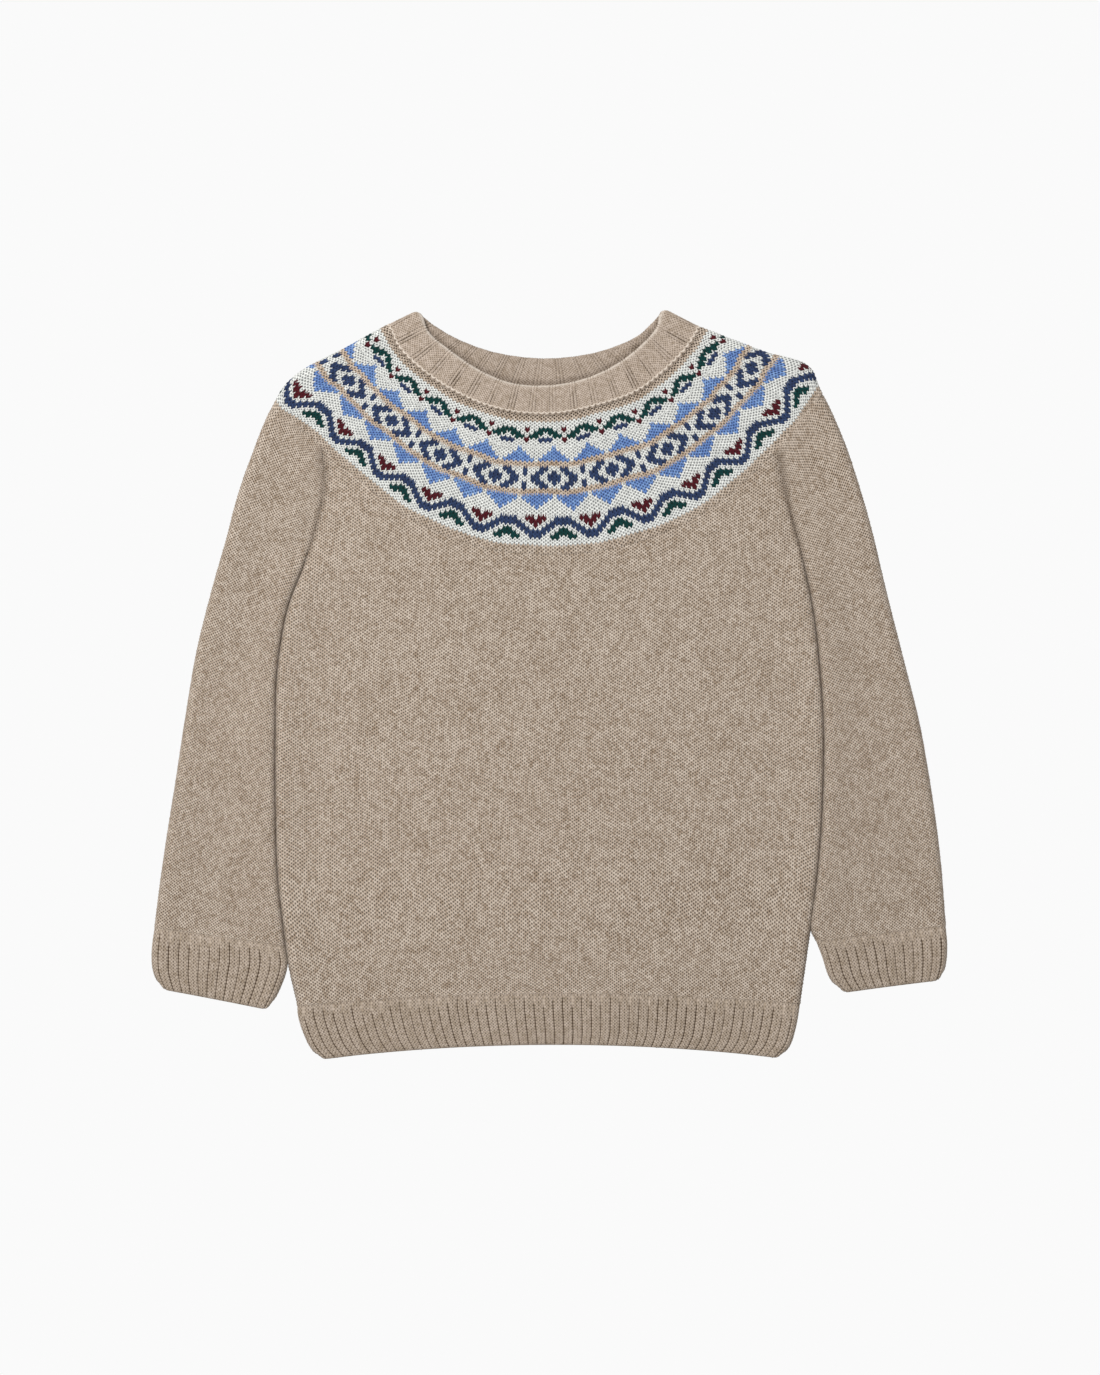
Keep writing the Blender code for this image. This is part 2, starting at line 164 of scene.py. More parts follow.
# -------- outline, as in the CAD

BODY_SIDES = np.array((
    # left x, left y, right x, right y
    (-151.8, -190.5, 150.3, -189.3),
    (-156.8, -168.3, 153.4, -167.7),
    (-158.7, -155.1, 156.4, -146.0),
    (-163.5, -113.1, 159.9, -117.9),
    (-164.8, -72.3, 162.9, -84.3),
    (-164.8, -25.5, 164.4, -35.7),
    (-163.8, 8.1, 162.9, 0.3),
    (-157.6, 45.9, 158.4, 42.9),
    (-147.2, 74.1, 151.8, 75.3),
    (-139.8, 99.3, 144.0, 104.7),
    (-135.6, 120.9, 139.4, 124.5),
    (-137.2, 142.7, 136.1, 141.0),
))
SLEEVE_FOLDS = np.array((
    # left x, left y, right x, right y
    (-231.6, -101.7, 234.6, -107.7),
    (-225.1, -60.6, 230.6, -75.3),
    (-217.8, -12.9, 222.0, -24.3),
    (-212.0, 20.7, 213.0, 12.3),
    (-202.6, 58.5, 201.6, 57.3),
    (-194.4, 87.3, 193.2, 92.7),
    (-187.8, 112.5, 184.8, 122.1),
    (-180.0, 135.3, 175.2, 149.7),
    (-167.5, 165.5, 163.5, 174.6),
))
SLEEVE_LEAVES = (236.8, -136.0)  # fold of the right sleeve at the row of BODY_SIDES where it leaves the body
CUFF_LEFT = np.array((
    # inner x, inner y, outer x, outer y
    (-159.2, -155.4, -237.2, -144.0),
    (-157.4, -168.0, -239.2, -160.5),
    (-161.2, -180.6, -238.2, -171.9),
    (-168.4, -194.7, -233.4, -182.1),
))
CUFF_RIGHT = np.array((
    # inner x, inner y, outer x, outer y
    (159.2, -152.4, 237.4, -142.8),
    (163.4, -163.0, 238.5, -156.7),
    (167.4, -175.0, 237.6, -167.7),
    (174.6, -184.5, 234.6, -176.7),
))
HEM_ROWS = np.array((
    # left x, left y, right x, right y, arch
    (-151.8, -190.8, 150.3, -189.6, 6.7),
    (-151.4, -198.0, 149.2, -197.5, 7.0),
    (-148.4, -208.0, 147.3, -207.0, 7.6),
    (-143.8, -217.5, 144.0, -216.5, 8.2),
    (-137.5, -224.4, 138.0, -223.6, 8.3),
))
YOKE_FRONT = np.array((
    # neck x, neck y, outer edge x, outer edge y, free edge of the neckband x, y
    (-90.8, 203.1, -146.8, 151.4, -72.5, 212.0),
    (-73.5, 186.6, -121.4, 128.6, -60.5, 201.7),
    (-49.0, 172.2, -85.5, 101.0, -40.7, 188.5),
    (-25.3, 164.7, -41.9, 82.9, -21.8, 181.3),
    (1.9, 163.0, 3.4, 78.3, 1.6, 180.3),
    (28.4, 168.1, 49.2, 84.8, 23.9, 185.2),
    (52.6, 176.7, 95.8, 105.5, 42.5, 194.6),
    (73.6, 193.3, 129.7, 134.6, 58.2, 207.8),
    (83.4, 204.2, 149.3, 154.2, 64.0, 215.4),
))
YOKE_BACK = np.array((
    # the same, from right to left
    (84.0, 206.8, 148.2, 159.3, 61.0, 217.5),
    (70.5, 196.5, 123.4, 140.3, 52.0, 209.6),
    (48.5, 186.0, 87.3, 118.0, 33.0, 201.6),
    (25.0, 180.4, 44.6, 101.8, 16.5, 198.0),
    (0.0, 178.8, 0.0, 96.7, -0.8, 196.5),
    (-25.5, 180.0, -44.6, 101.8, -19.0, 197.6),
    (-49.0, 185.0, -86.8, 118.9, -37.5, 201.3),
    (-74.0, 196.2, -121.4, 141.5, -56.0, 208.4),
    (-90.0, 207.4, -144.7, 158.7, -68.5, 215.6),
))
FOLD_LEFT = np.array((
    # share of the way from the neck to the seam, x, y
    (0.0, -97.8, 216.3),
    (0.327, -123.0, 202.5),
    (0.675, -150.0, 188.1),
    (0.834, -160.2, 178.5),
    (1.0, -167.3, 165.8),
))
FOLD_RIGHT = np.array((
    # share of the way from the neck to the seam, x, y
    (0.0, 90.0, 215.1),
    (0.446, 126.5, 201.0),
    (0.821, 157.2, 189.3),
    (0.932, 160.8, 180.3),
    (1.0, 163.4, 174.9),
))
BACK_CORNERS = np.array(((-137.0, 153.0), (136.0, 149.8)))  # where a sleeve, the back and the yoke meet
NECK_TIPS = np.array(((-79.2, 225.4), (67.8, 226.6)))
# Share of the way from the neck to the seam of the eyes' middle, at the points of YOKE_FRONT
EYE_SHARE = np.array((0.46, 0.46, 0.458, 0.455, 0.447, 0.45, 0.46, 0.465, 0.46))
FOLD_EYE_SHARE = 0.447  # and over the folds

# -------- chart of the yoke

FIRST_ROW_EYE = 19  # rows between the neckband and the middle of the eyes
YOKE_ROWS = 41
# Rows from the neckband outwards, in the letters of YOKE_YARNS.
# A band: stitches in the round, those that the front holds, where the middle of its repeat's
# first stitch lies, in stitches right of the middle of the front, and its rows
BANDS = (
    (176, 92.0, -3.95, ("o", "o", "c", "c", "ccGGGccM", "cGGcGGcc", "GGcccGGc", "ccNNNccM", "c", "c")),
    (208, 108.8, -2.1, ("cccLcccc", "ccLLLccc", "cLLLLLcc", "LLLLLLLc", "b", "b")),
    (
        238, 125.6, -5.0,
        (
            "cccNNcccNNcccN",
            "ccNNccNccNNccN",
            "cNNccNNNccNNcc",
            "cNNccNNNccNNcc",
            "ccNNccNccNNccN",
            "cccNNcccNNcccN",
            "b",
            "b",
        ),
    ),
    (248, 130.4, -5.9, ("LLLLLLLc", "cLLLLLcc", "ccLLLccc", "cccLcccc", "c", "c")),
    (
        286, 146.9, -3.4,
        (
            "cMMccNNNNccMM",
            "MMccNNNNNNccM",
            "MccNNccccNNcc",
            "ccNNccGGccNNc",
            "NNNccGGGGccNN",
            "NNccGGccGGccN",
            "c",
            "c",
            "o",
            "o",
            "o",
        ),
    ),
)

# How dark the painted shade in the holes of the yoke's rows is, and in those of the other pieces
OPEN_ROWS = (
    # row, strength
    (0, 1.3),
    (1, 0.9),
    (2, 1.0),
    (37, 1.0),
    (38, 0.95),
)
OPEN_BODY, OPEN_SLEEVE, OPEN_RIB, OPEN_BAND = 0.96, 0.98, 0.95, 0.7

# -------- yarns

YARNS = {
    # name: linear colour, colour of its darker fibres, tint of the painted shade in its holes and between its
    # stitches, how mottled it is, and how dark a hole in the middle of a column is against one between two
    "oatmeal": ((0.566, 0.484, 0.405), (0.31, 0.235, 0.17), (0.05, 0.03, 0.018), 0.30, 1.0),
    "rib": ((0.46, 0.385, 0.318), (0.27, 0.21, 0.15), (0.09, 0.06, 0.04), 0.27, 0.7),
    "band": ((0.497, 0.415, 0.348), (0.29, 0.225, 0.165), (0.09, 0.06, 0.04), 0.27, 1.0),
    "cream": ((0.735, 0.745, 0.715), (0.52, 0.53, 0.51), (0.12, 0.125, 0.14), 0.26, 0.95),
    "beige": ((0.585, 0.492, 0.405), (0.36, 0.26, 0.18), (0.02, 0.012, 0.008), 0.30, 0.9),
    "light_blue": ((0.205, 0.335, 0.58), (0.11, 0.20, 0.44), (0.05, 0.08, 0.17), 0.5, 0.95),
    "navy": ((0.027, 0.050, 0.122), (0.017, 0.028, 0.070), (0.12, 0.12, 0.16), 0.34, 0.6),
    "green": ((0.0003, 0.036, 0.037), (0.001, 0.028, 0.025), (0.12, 0.15, 0.12), 0.34, 0.6),
    "maroon": ((0.071, 0.0045, 0.010), (0.055, 0.004, 0.008), (0.25, 0.2, 0.2), 0.34, 0.7),
}
HOLE_IN, HOLE_OUT = 0.14, 0.84  # radius of the dark and of the whole hole, in mm
HOLE_WIDE, HOLE_TALL = 1.25, 1.8  # half a stitch and a row, in mm
YOKE_YARNS = (
    # letter in the chart, name, how far it crowds out the others
    ("c", "cream", 0.0),
    ("b", "beige", 0.1),
    ("L", "light_blue", 0.2),
    ("N", "navy", 1.0),
    ("G", "green", 1.0),
    ("M", "maroon", 1.3),
    ("o", "oatmeal", 0.1),
)
MOTTLES = (
    # scale and detail of a noise, the values it starts and ends at, how much of the dark fibres it brings
    (90.0, 2.0, 0.36, 0.66, 0.55),
    (430.0, 3.0, 0.38, 0.66, 1.7),
    (2300.0, 2.0, 0.40, 0.70, 0.9),
)
SHADES = (-0.9, 1.1)  # the same by stitch
# Tint of the painted shade in grooves, in the crease between sleeve and body, inside the neck and between
# foot loops; colour of the painted highlight on the neckband's free edge and on the crests of its foot loops
PAINTED_SHADE_TINT, PAINTED_HIGHLIGHT_COLOUR = (0.16, 0.12, 0.085), (0.78, 0.73, 0.66)
WOOL = {"Roughness": 0.92, "Specular IOR Level": 0.12, "Sheen Weight": 0.06, "Sheen Roughness": 0.6}
BUMP, BUMP_DEPTH, FIBRES, PLY, PLY_TURNS, PLY_LEAN = 0.5, 0.0003, 3800.0, 0.25, 12.57, 0.6

# -------- stage, in metres

FLOOR_REACH, FLOOR_Z, PAPER = 6, -0.0002, 0.957  # half its side, its height, its light
KEY_PLACE, KEY_SIZE, KEY_WATTS, KEY_COLOUR = (-0.85, 1.0, 1.85), 1.0, 54, (1, 0.99, 0.97)
SKY = 0.68
LENS, SENSOR = 100, 36  # mm
FIELD, FIELD_Y, FIELD_Z = 0.825, -0.0012, 0.005  # height of the picture, and its middle


# -------- curves


def smooth(points, steps):
    """A centripetal Catmull-Rom curve, with this many steps between each two points."""
    p = np.array(points, float)
    gaps = np.maximum(norm(np.diff(p[:, :2], axis=0), axis=1), 1e-6) ** 0.5
    slope = np.diff(p, axis=0) / gaps[:, None]
    tangent = np.vstack([slope[:1], slope])
    for i in range(1, len(p) - 1):
        whole = (p[i + 1] - p[i - 1]) / (gaps[i - 1] + gaps[i])
        tangent[i] = slope[i - 1] - whole + slope[i]
    curve = []
    for i, gap in enumerate(gaps):
        s = (np.arange(steps) / steps)[:, None]
        point = (2 * s**3 - 3 * s**2 + 1) * p[i] + (3 * s**2 - 2 * s**3) * p[i + 1]
        point = point + (s**3 - 2 * s**2 + s) * gap * tangent[i]
        curve.append(point + (s**3 - s**2) * gap * tangent[i + 1])
    return np.vstack(curve + [p[-1:]])


def runs(path):
    """The distance along a path of each of its points."""
    return np.concatenate([[0], np.cumsum(norm(np.diff(path, axis=0), axis=1))])


def share_of(value):
    return np.clip(value, 0, 1)


def eased(value, low, high):
    """0 below low, 1 above high, with a soft change between them."""
    s = share_of((value - low) / (high - low))
    return s * s * (3 - 2 * s)


def bend(values, table, column):
    """A column of a table, interpolated by its first column."""
    rows = np.array(table)
    return np.interp(values, rows[:, 0], rows[:, column])


def unit(vector):
    return vector / norm(vector)


def point_at(line, k):
    """The point of a line at a count of its points."""
    return np.stack([np.interp(k, np.arange(len(line)), line[:, i]) for i in (0, 1)], -1)


def drift(x, y, top):
    """How far the rows wander from straight at places of the cloth, in mm."""
    wave = 0.0
    for size, length, lean, phase in WAVES:
        wave = wave + size * np.sin((x * math.cos(lean) + y * math.sin(lean)) * 2 * math.pi / length + phase)
    return wave * share_of(y / WAVES_FROM) * share_of((top - y) / WAVES_FROM)


# -------- sections of the cloth


def section(s, width, fold_a, fold_b, flat, upper=True, sag=1.0):
    """(distance from the first outline, height) at a distance along the cloth of one layer. Fold_a
    and fold_b are 1 where an end is a fold and 0 at a seam. Sag is how deep the trough there is."""
    arc_a, arc_b = (EDGE_ARC + (ROLL_ARC - EDGE_ARC) * fold for fold in (fold_a, fold_b))
    roll_a, roll_b = (EDGE + (ROLL - EDGE) * fold for fold in (fold_a, fold_b))
    length = width + arc_a - roll_a + arc_b - roll_b
    s = np.clip(s, 0, length)
    turn_a = share_of(s / arc_a) * math.pi / 2
    turn_b = share_of((length - s) / arc_b) * math.pi / 2
    near_a, near_b = s < arc_a, length - s < arc_b
    inset = roll_a + s - arc_a
    inset = np.where(near_b, width - roll_b * (1 - np.cos(turn_b)), inset)
    inset = np.where(near_a, roll_a * (1 - np.cos(turn_a)), inset)
    if upper:
        past_a = np.maximum(inset - roll_a, 0) / SHOULDER
        past_b = np.maximum(width - inset - roll_b, 0) / SHOULDER
        rise = fold_a * np.exp(-(past_a**2)) + fold_b * np.exp(-(past_b**2))
        sag_a = (1 - fold_a) * np.exp(-((inset / TROUGH_WIDE) ** 2))
        sag_b = (1 - fold_b) * np.exp(-(((width - inset) / TROUGH_WIDE) ** 2))
        trough = (flat - TROUGH_Z) * sag
        top = flat + (ROLL_TOP - flat) * np.minimum(rise, 1) - trough * np.maximum(sag_a, sag_b)
        bottom = flat - trough - SEAM_DROP
        edges = [FOLD_Z * fold + bottom * (1 - fold) for fold in (fold_a, fold_b)]
    else:
        top = np.full_like(inset, GROUND)
        edges = [FOLD_Z * fold + (GROUND + SEAM_LIFT) * (1 - fold) for fold in (fold_a, fold_b)]
    edge = np.where(near_a, edges[0], edges[1])
    turn = np.where(near_a, turn_a, turn_b)
    z = np.where(near_a | near_b, edge + (top - edge) * np.sin(turn), top)
    return inset, z


def body_lines():
    """The left and the right side of the body, from the hem rib up."""
    lines = []
    for columns in ((0, 1), (2, 3)):
        line = smooth(BODY_SIDES[:, columns], SIDE_STEPS)
        lines.append(line[np.argsort(line[:, 1])])
    return lines


SIDE_LEFT, SIDE_RIGHT = body_lines()


def courses_of():
    """The height of each course line of the body, from the hem rib up."""
    heights = [BODY_SIDES[0, 1]]
    while heights[-1] < BODY_TOP:
        heights.append(heights[-1] + bend(heights[-1], COURSES, 1))
    return np.array(heights)


BODY_COURSES = courses_of()


def yoke_rings(rows):
    """Rings of the yoke's outer face at rows from the neckband (0) to its seam."""
    grid = []
    for row in rows:
        outward = row > FIRST_ROW_EYE
        step = (row - FIRST_ROW_EYE) / (YOKE_ROWS - FIRST_ROW_EYE) if outward else row / FIRST_ROW_EYE
        stations = []
        for table in (YOKE_FRONT, YOKE_BACK):
            neck, edge = table[:, 0:2], table[:, 2:4]
            share = EYE_SHARE + (1 - EYE_SHARE) * step if outward else EYE_SHARE * step
            stations.append(neck + (edge - neck) * share[:, None])
        fold_share = FOLD_EYE_SHARE + (1 - FOLD_EYE_SHARE) * step if outward else FOLD_EYE_SHARE * step
        folds = [fold_point(table, fold_share) for table in (FOLD_LEFT, FOLD_RIGHT)]
        heights = (FLAT_TOP + NECK_RISE * (1 - fold_share), GROUND, ROLL_TOP)
        grid.append(ring(stations, folds, ROLL, heights))
    return np.array(grid)


def fold_point(table, share):
    """A point of a shoulder fold, and the direction from it into the garment."""
    rows = smooth(table, FOLD_STEPS)
    at = np.array([np.interp(share, rows[:, 0], rows[:, k]) for k in (1, 2)])
    run = table[-1, 1:] - table[0, 1:]
    inward = np.array([run[1], -run[0]]) / norm(run)
    return at, inward if inward[1] < 0 else -inward


def ring(stations, folds, roll, heights):
    """One closed row: the front from left to right, over the right fold, the back, the left fold."""
    front_z, back_z, top_z = heights
    middle, rise = (top_z + back_z) / 2, (top_z - back_z) / 2
    rolls = []
    for (at, inward), way in zip(folds, (1, -1)):
        angles = np.concatenate([[-math.pi / 2], -TURNS[::-1], [0], TURNS, [math.pi / 2]])[::way]
        inset = roll * (1 - np.cos(angles))[:, None]
        rolls.append(np.column_stack([at + inward * inset, middle + rise * np.sin(angles)]))
    left, right = rolls
    flat = [np.column_stack([at, np.full(len(at), z)]) for at, z in zip(stations, (front_z, back_z))]
    front = smooth(np.vstack([left[-1:], flat[0], right[:1]]), RING_STEPS)
    back = smooth(np.vstack([right[-1:], flat[1], left[:1]]), RING_STEPS)
    return np.vstack([front, right[1:-1], back, left[1:-1]])


# -------- cloth meshes


def placed(name, data):
    """A new object in the scene."""
    made = bpy.data.objects.new(name, data)
    bpy.context.scene.collection.objects.link(made)
    return made


class Cloth:
    """Vertices, faces and their attributes of one piece, gathered and then made into a mesh."""

    def __init__(self):
        self.parts = [[] for _ in range(7)]
        self.count = 0

    def add(self, points, faces, yarns, shades, cuts, lines, spots):
        """Cuts are the painted shade of each point, 1 at the bottom of a groove, and a painted highlight
        where negative; lines the knitted line of each point, or -1. Spots are, for each corner of a face, 0
        between two columns of stitches and 1 in the middle of one, the row, and how dark the painted shade
        in the holes is there."""
        a, b, c = (points[faces[:, k]] for k in range(3))
        keep = norm(np.cross(b - a, c - a), axis=1) > SMALL_FACE
        kept = points, faces[keep] + self.count, yarns[keep], shades[keep], cuts, lines, spots[keep]
        for part, values in zip(self.parts, kept):
            part.append(values)
        self.count += len(points)

    def plain(self, grid, flip):
        """A plain sheet of the first yarn through a grid of points."""
        rows, columns = grid.shape[:2]
        i, j = np.meshgrid(np.arange(rows - 1), np.arange(columns - 1), indexing="ij")
        a = (i * columns + j).ravel()
        quads = [(a, a + 1, a + columns + 1), (a, a + columns + 1, a + columns)]
        faces = np.vstack([np.column_stack(q) for q in quads])
        if flip:
            faces = faces[:, ::-1]
        spots = np.full((len(faces), 3, 3), 0.5)
        yarns, shades, bare = np.zeros(len(faces), int), np.full(len(faces), 0.5), np.zeros(rows * columns)
        self.add(grid.reshape(-1, 3), faces, yarns, shades, bare, bare - 1, spots)

    def lining(self, place, facing, u, v, rims="tblr"):
        """The inner face of the cloth, and its rims: top, bottom, left and right."""
        uu, vv = np.meshgrid(u, v, indexing="ij")
        inner = lifted(place, facing, uu, vv, np.full(uu.shape, -WALL))
        outer = lifted(place, facing, uu, vv, np.zeros(uu.shape))
        self.plain(inner, facing > 0)
        sides = {"b": (outer[:, 0], inner[:, 0], 1), "t": (outer[:, -1], inner[:, -1], -1)}
        sides |= {"l": (outer[0], inner[0], -1), "r": (outer[-1], inner[-1], 1)}
        for side in rims:
            first, second, turn = sides[side]
            self.plain(np.stack([first, second]), turn * facing < 0)

    def build(self, name, yarns):
        """The mesh object. Its normals break along the knitted lines, and nowhere else."""
        points, faces, numbers, shades, cuts, lines, spots = map(np.concatenate, self.parts)
        points = points * MM
        mesh = bpy.data.meshes.new(name)
        mesh.vertices.add(len(points))
        mesh.vertices.foreach_set("co", points.astype(np.float32).ravel())
        mesh.loops.add(faces.size)
        mesh.loops.foreach_set("vertex_index", faces.astype(np.int32).ravel())
        mesh.polygons.add(len(faces))
        mesh.polygons.foreach_set("loop_start", np.arange(0, faces.size, 3, dtype=np.int32))
        mesh.polygons.foreach_set("loop_total", np.full(len(faces), 3, np.int32))
        for yarn in yarns:
            mesh.materials.append(MATERIALS[yarn])
        mesh.polygons.foreach_set("material_index", numbers.astype(np.int32))
        mesh.update(calc_edges=True)
        mesh.shade_smooth()
        for key, kind, domain, field, values in (
            ("cut", "FLOAT", "POINT", "value", cuts),
            ("shade", "FLOAT", "FACE", "value", shades),
            ("stitch", "FLOAT_VECTOR", "CORNER", "vector", spots),
        ):
            values = values.astype(np.float32).ravel()
            mesh.attributes.new(key, kind, domain).data.foreach_set(field, values)
        ends = np.empty(len(mesh.edges) * 2, np.int32)
        mesh.edges.foreach_get("vertices", ends)
        first, second = lines[ends.reshape(-1, 2)].T
        sharp = (first == second) & (first >= 0)
        mesh.attributes.new("sharp_edge", "BOOLEAN", "EDGE").data.foreach_set("value", sharp)
        piece = placed(name, mesh)
        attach(piece, "root")
        return piece


def one_yarn(m, c):
    """The number of the yarn of stitches, by column and row, where there is only one."""
    return np.zeros(m.shape, int)


def stitches(
    cloth, place, facing, lines, rows, ends, colours=one_yarn,
    jitter=1.0, dark=None, shadow=None, opening=1.0, pale=0.0, bare=0.8,
):
    """Adds a lattice of stitches. Lines are (place across, shift along, depth, rise, cut), with the
    rise of the yarn up to the next line, and the cut its painted shade, a painted highlight where negative.
    Place gives the cloth's points, rows are the first and the last, and ends where these are cut off.
    Jitter is how uneven stitches are, dark how much each yarn crowds out the others, opening how dark
    the painted shade in the holes is, bare how much lighter they are beside a groove, and pale how much
    lighter the crests are painted, as a highlight. Shadow makes the cuts, the painted shade, from those of
    lines."""
    across, shift, depth, rise, cut = (np.array([line[k] for line in lines], float) for k in range(5))
    count = len(across)
    r = np.arange(rows[0], rows[1] + 1)
    m, c = np.meshgrid(np.arange(count - 1), np.arange(len(r) - 1), indexing="ij")
    yarns = colours(m, c + rows[0])
    opening = np.broadcast_to(opening(c + rows[0]) if callable(opening) else opening, m.shape)
    groove = (cut[m] > 0.5) | (cut[m + 1] > 0.5)
    opening = opening * (1 - bare * groove) * RNG.uniform(0.9, 1.1, m.shape)
    u = np.repeat(across[:, None], len(r), 1)
    v = r[None, :] + shift[:, None]
    gaps = np.diff(across, prepend=across[0] - 1, append=across[-1] + 1)
    width = np.minimum(gaps[1:], gaps[:-1])[:, None]
    if dark is not None:
        weight = np.pad(np.array(dark)[yarns], 1, mode="edge")
        before, after = weight[:, :-1], weight[:, 1:]
        v = v + CROWD * (before[:-1] + before[1:] - after[:-1] - after[1:]) / 2
        sides = weight[:-1, :-1] + weight[:-1, 1:] - weight[1:, :-1] - weight[1:, 1:]
        u = u + CROWD * width * sides / 2
    v = np.clip(v, *ends)
    wobble = RNG.normal(0, WOBBLE * jitter, (2, *u.shape))
    base = lifted(place, facing, u + wobble[0] * width, np.clip(v + wobble[1], *ends), -depth[:, None])
    uc = (u[:-1, :-1] + u[1:, :-1] + u[:-1, 1:] + u[1:, 1:]) / 4
    vc = (v[:-1, :-1] + v[1:, :-1] + v[:-1, 1:] + v[1:, 1:]) / 4
    uneven = 1 + RNG.normal(0, UNEVEN * jitter, uc.shape)
    lift = rise[:-1, None] * uneven - (depth[:-1, None] + depth[1:, None]) / 2
    crest = lifted(place, facing, uc, vc, lift)
    a = m * len(r) + c
    corner = (a, a + len(r), a + len(r) + 1, a + 1)
    top = count * len(r) + m * (len(r) - 1) + c
    points = np.vstack([base.reshape(-1, 3), crest.reshape(-1, 3)])
    middle = (shift != 0).astype(float)
    left, right = middle[m], middle[m + 1]
    low, high = shift[m] + c % 2, shift[m + 1] + c % 2
    peak = ((left + right) / 2, (low + high + 1) / 2)
    spot = [(left, low), (right, high), (right, high + 1), (left, low + 1), peak]
    *spot, centre = [np.stack([x, y, opening], -1) for x, y in spot]
    sides, spots = [], []
    for k in range(4):
        side = [corner[k], corner[(k + 1) % 4], top]
        place_in = [spot[k], spot[(k + 1) % 4], centre]
        turn = slice(None, None, 1 if facing > 0 else -1)
        sides.append(np.stack(side[turn], -1))
        spots.append(np.stack(place_in[turn], -2))
    spread = np.cross(base[1:, 1:] - base[:-1, :-1], base[:-1, 1:] - base[1:, :-1])
    whole = np.repeat(norm(spread, axis=-1).reshape(-1) > SMALL_CELL, 4)
    faces = np.stack(sides, 2).reshape(-1, 3)[whole]
    spots = np.stack(spots, 2).reshape(-1, 3, 3)[whole]
    shade = np.repeat(RNG.random(m.shape).reshape(-1), 4)[whole]
    cuts = np.repeat(cut[:, None], len(r), 1)
    top_cuts = np.full(top.shape, -pale)
    if shadow:
        cuts, top_cuts = shadow(u, v, cuts), shadow(uc, vc, top_cuts)
    cuts = np.concatenate([cuts.reshape(-1), top_cuts.reshape(-1)])
    lines = np.concatenate([np.repeat(np.arange(count), len(r)), np.full(top.size, -1)])
    cloth.add(points, faces, np.repeat(yarns.reshape(-1), 4)[whole], shade, cuts, lines, spots)


def lifted(place, facing, u, v, lift):
    """Points of the cloth, moved out of it by lift."""
    at = place(u, v)
    step = 0.2
    du, dv = place(u + step, v) - place(u - step, v), place(u, v + step) - place(u, v - step)
    normal = np.cross(du, dv) * facing
    size = norm(normal, axis=-1, keepdims=True)
    up = np.zeros_like(normal)
    up[..., 2] = 1
    normal = np.where(size > 1e-3, normal / np.maximum(size, 1e-9), up)
    return at + normal * np.broadcast_to(lift, u.shape)[..., None]


def stocking(first, last, slant, start=0.0, rise=RISE):
    """Lines of stocking stitch between two columns. The slant is positive where rows run towards the hem."""
    lines = []
    for m in range(2 * first, 2 * last + 1):
        lines.append((m / 2 + start, slant if m % 2 else 0.0, 0.0, rise, 0.0))
    return lines


# -------- materials


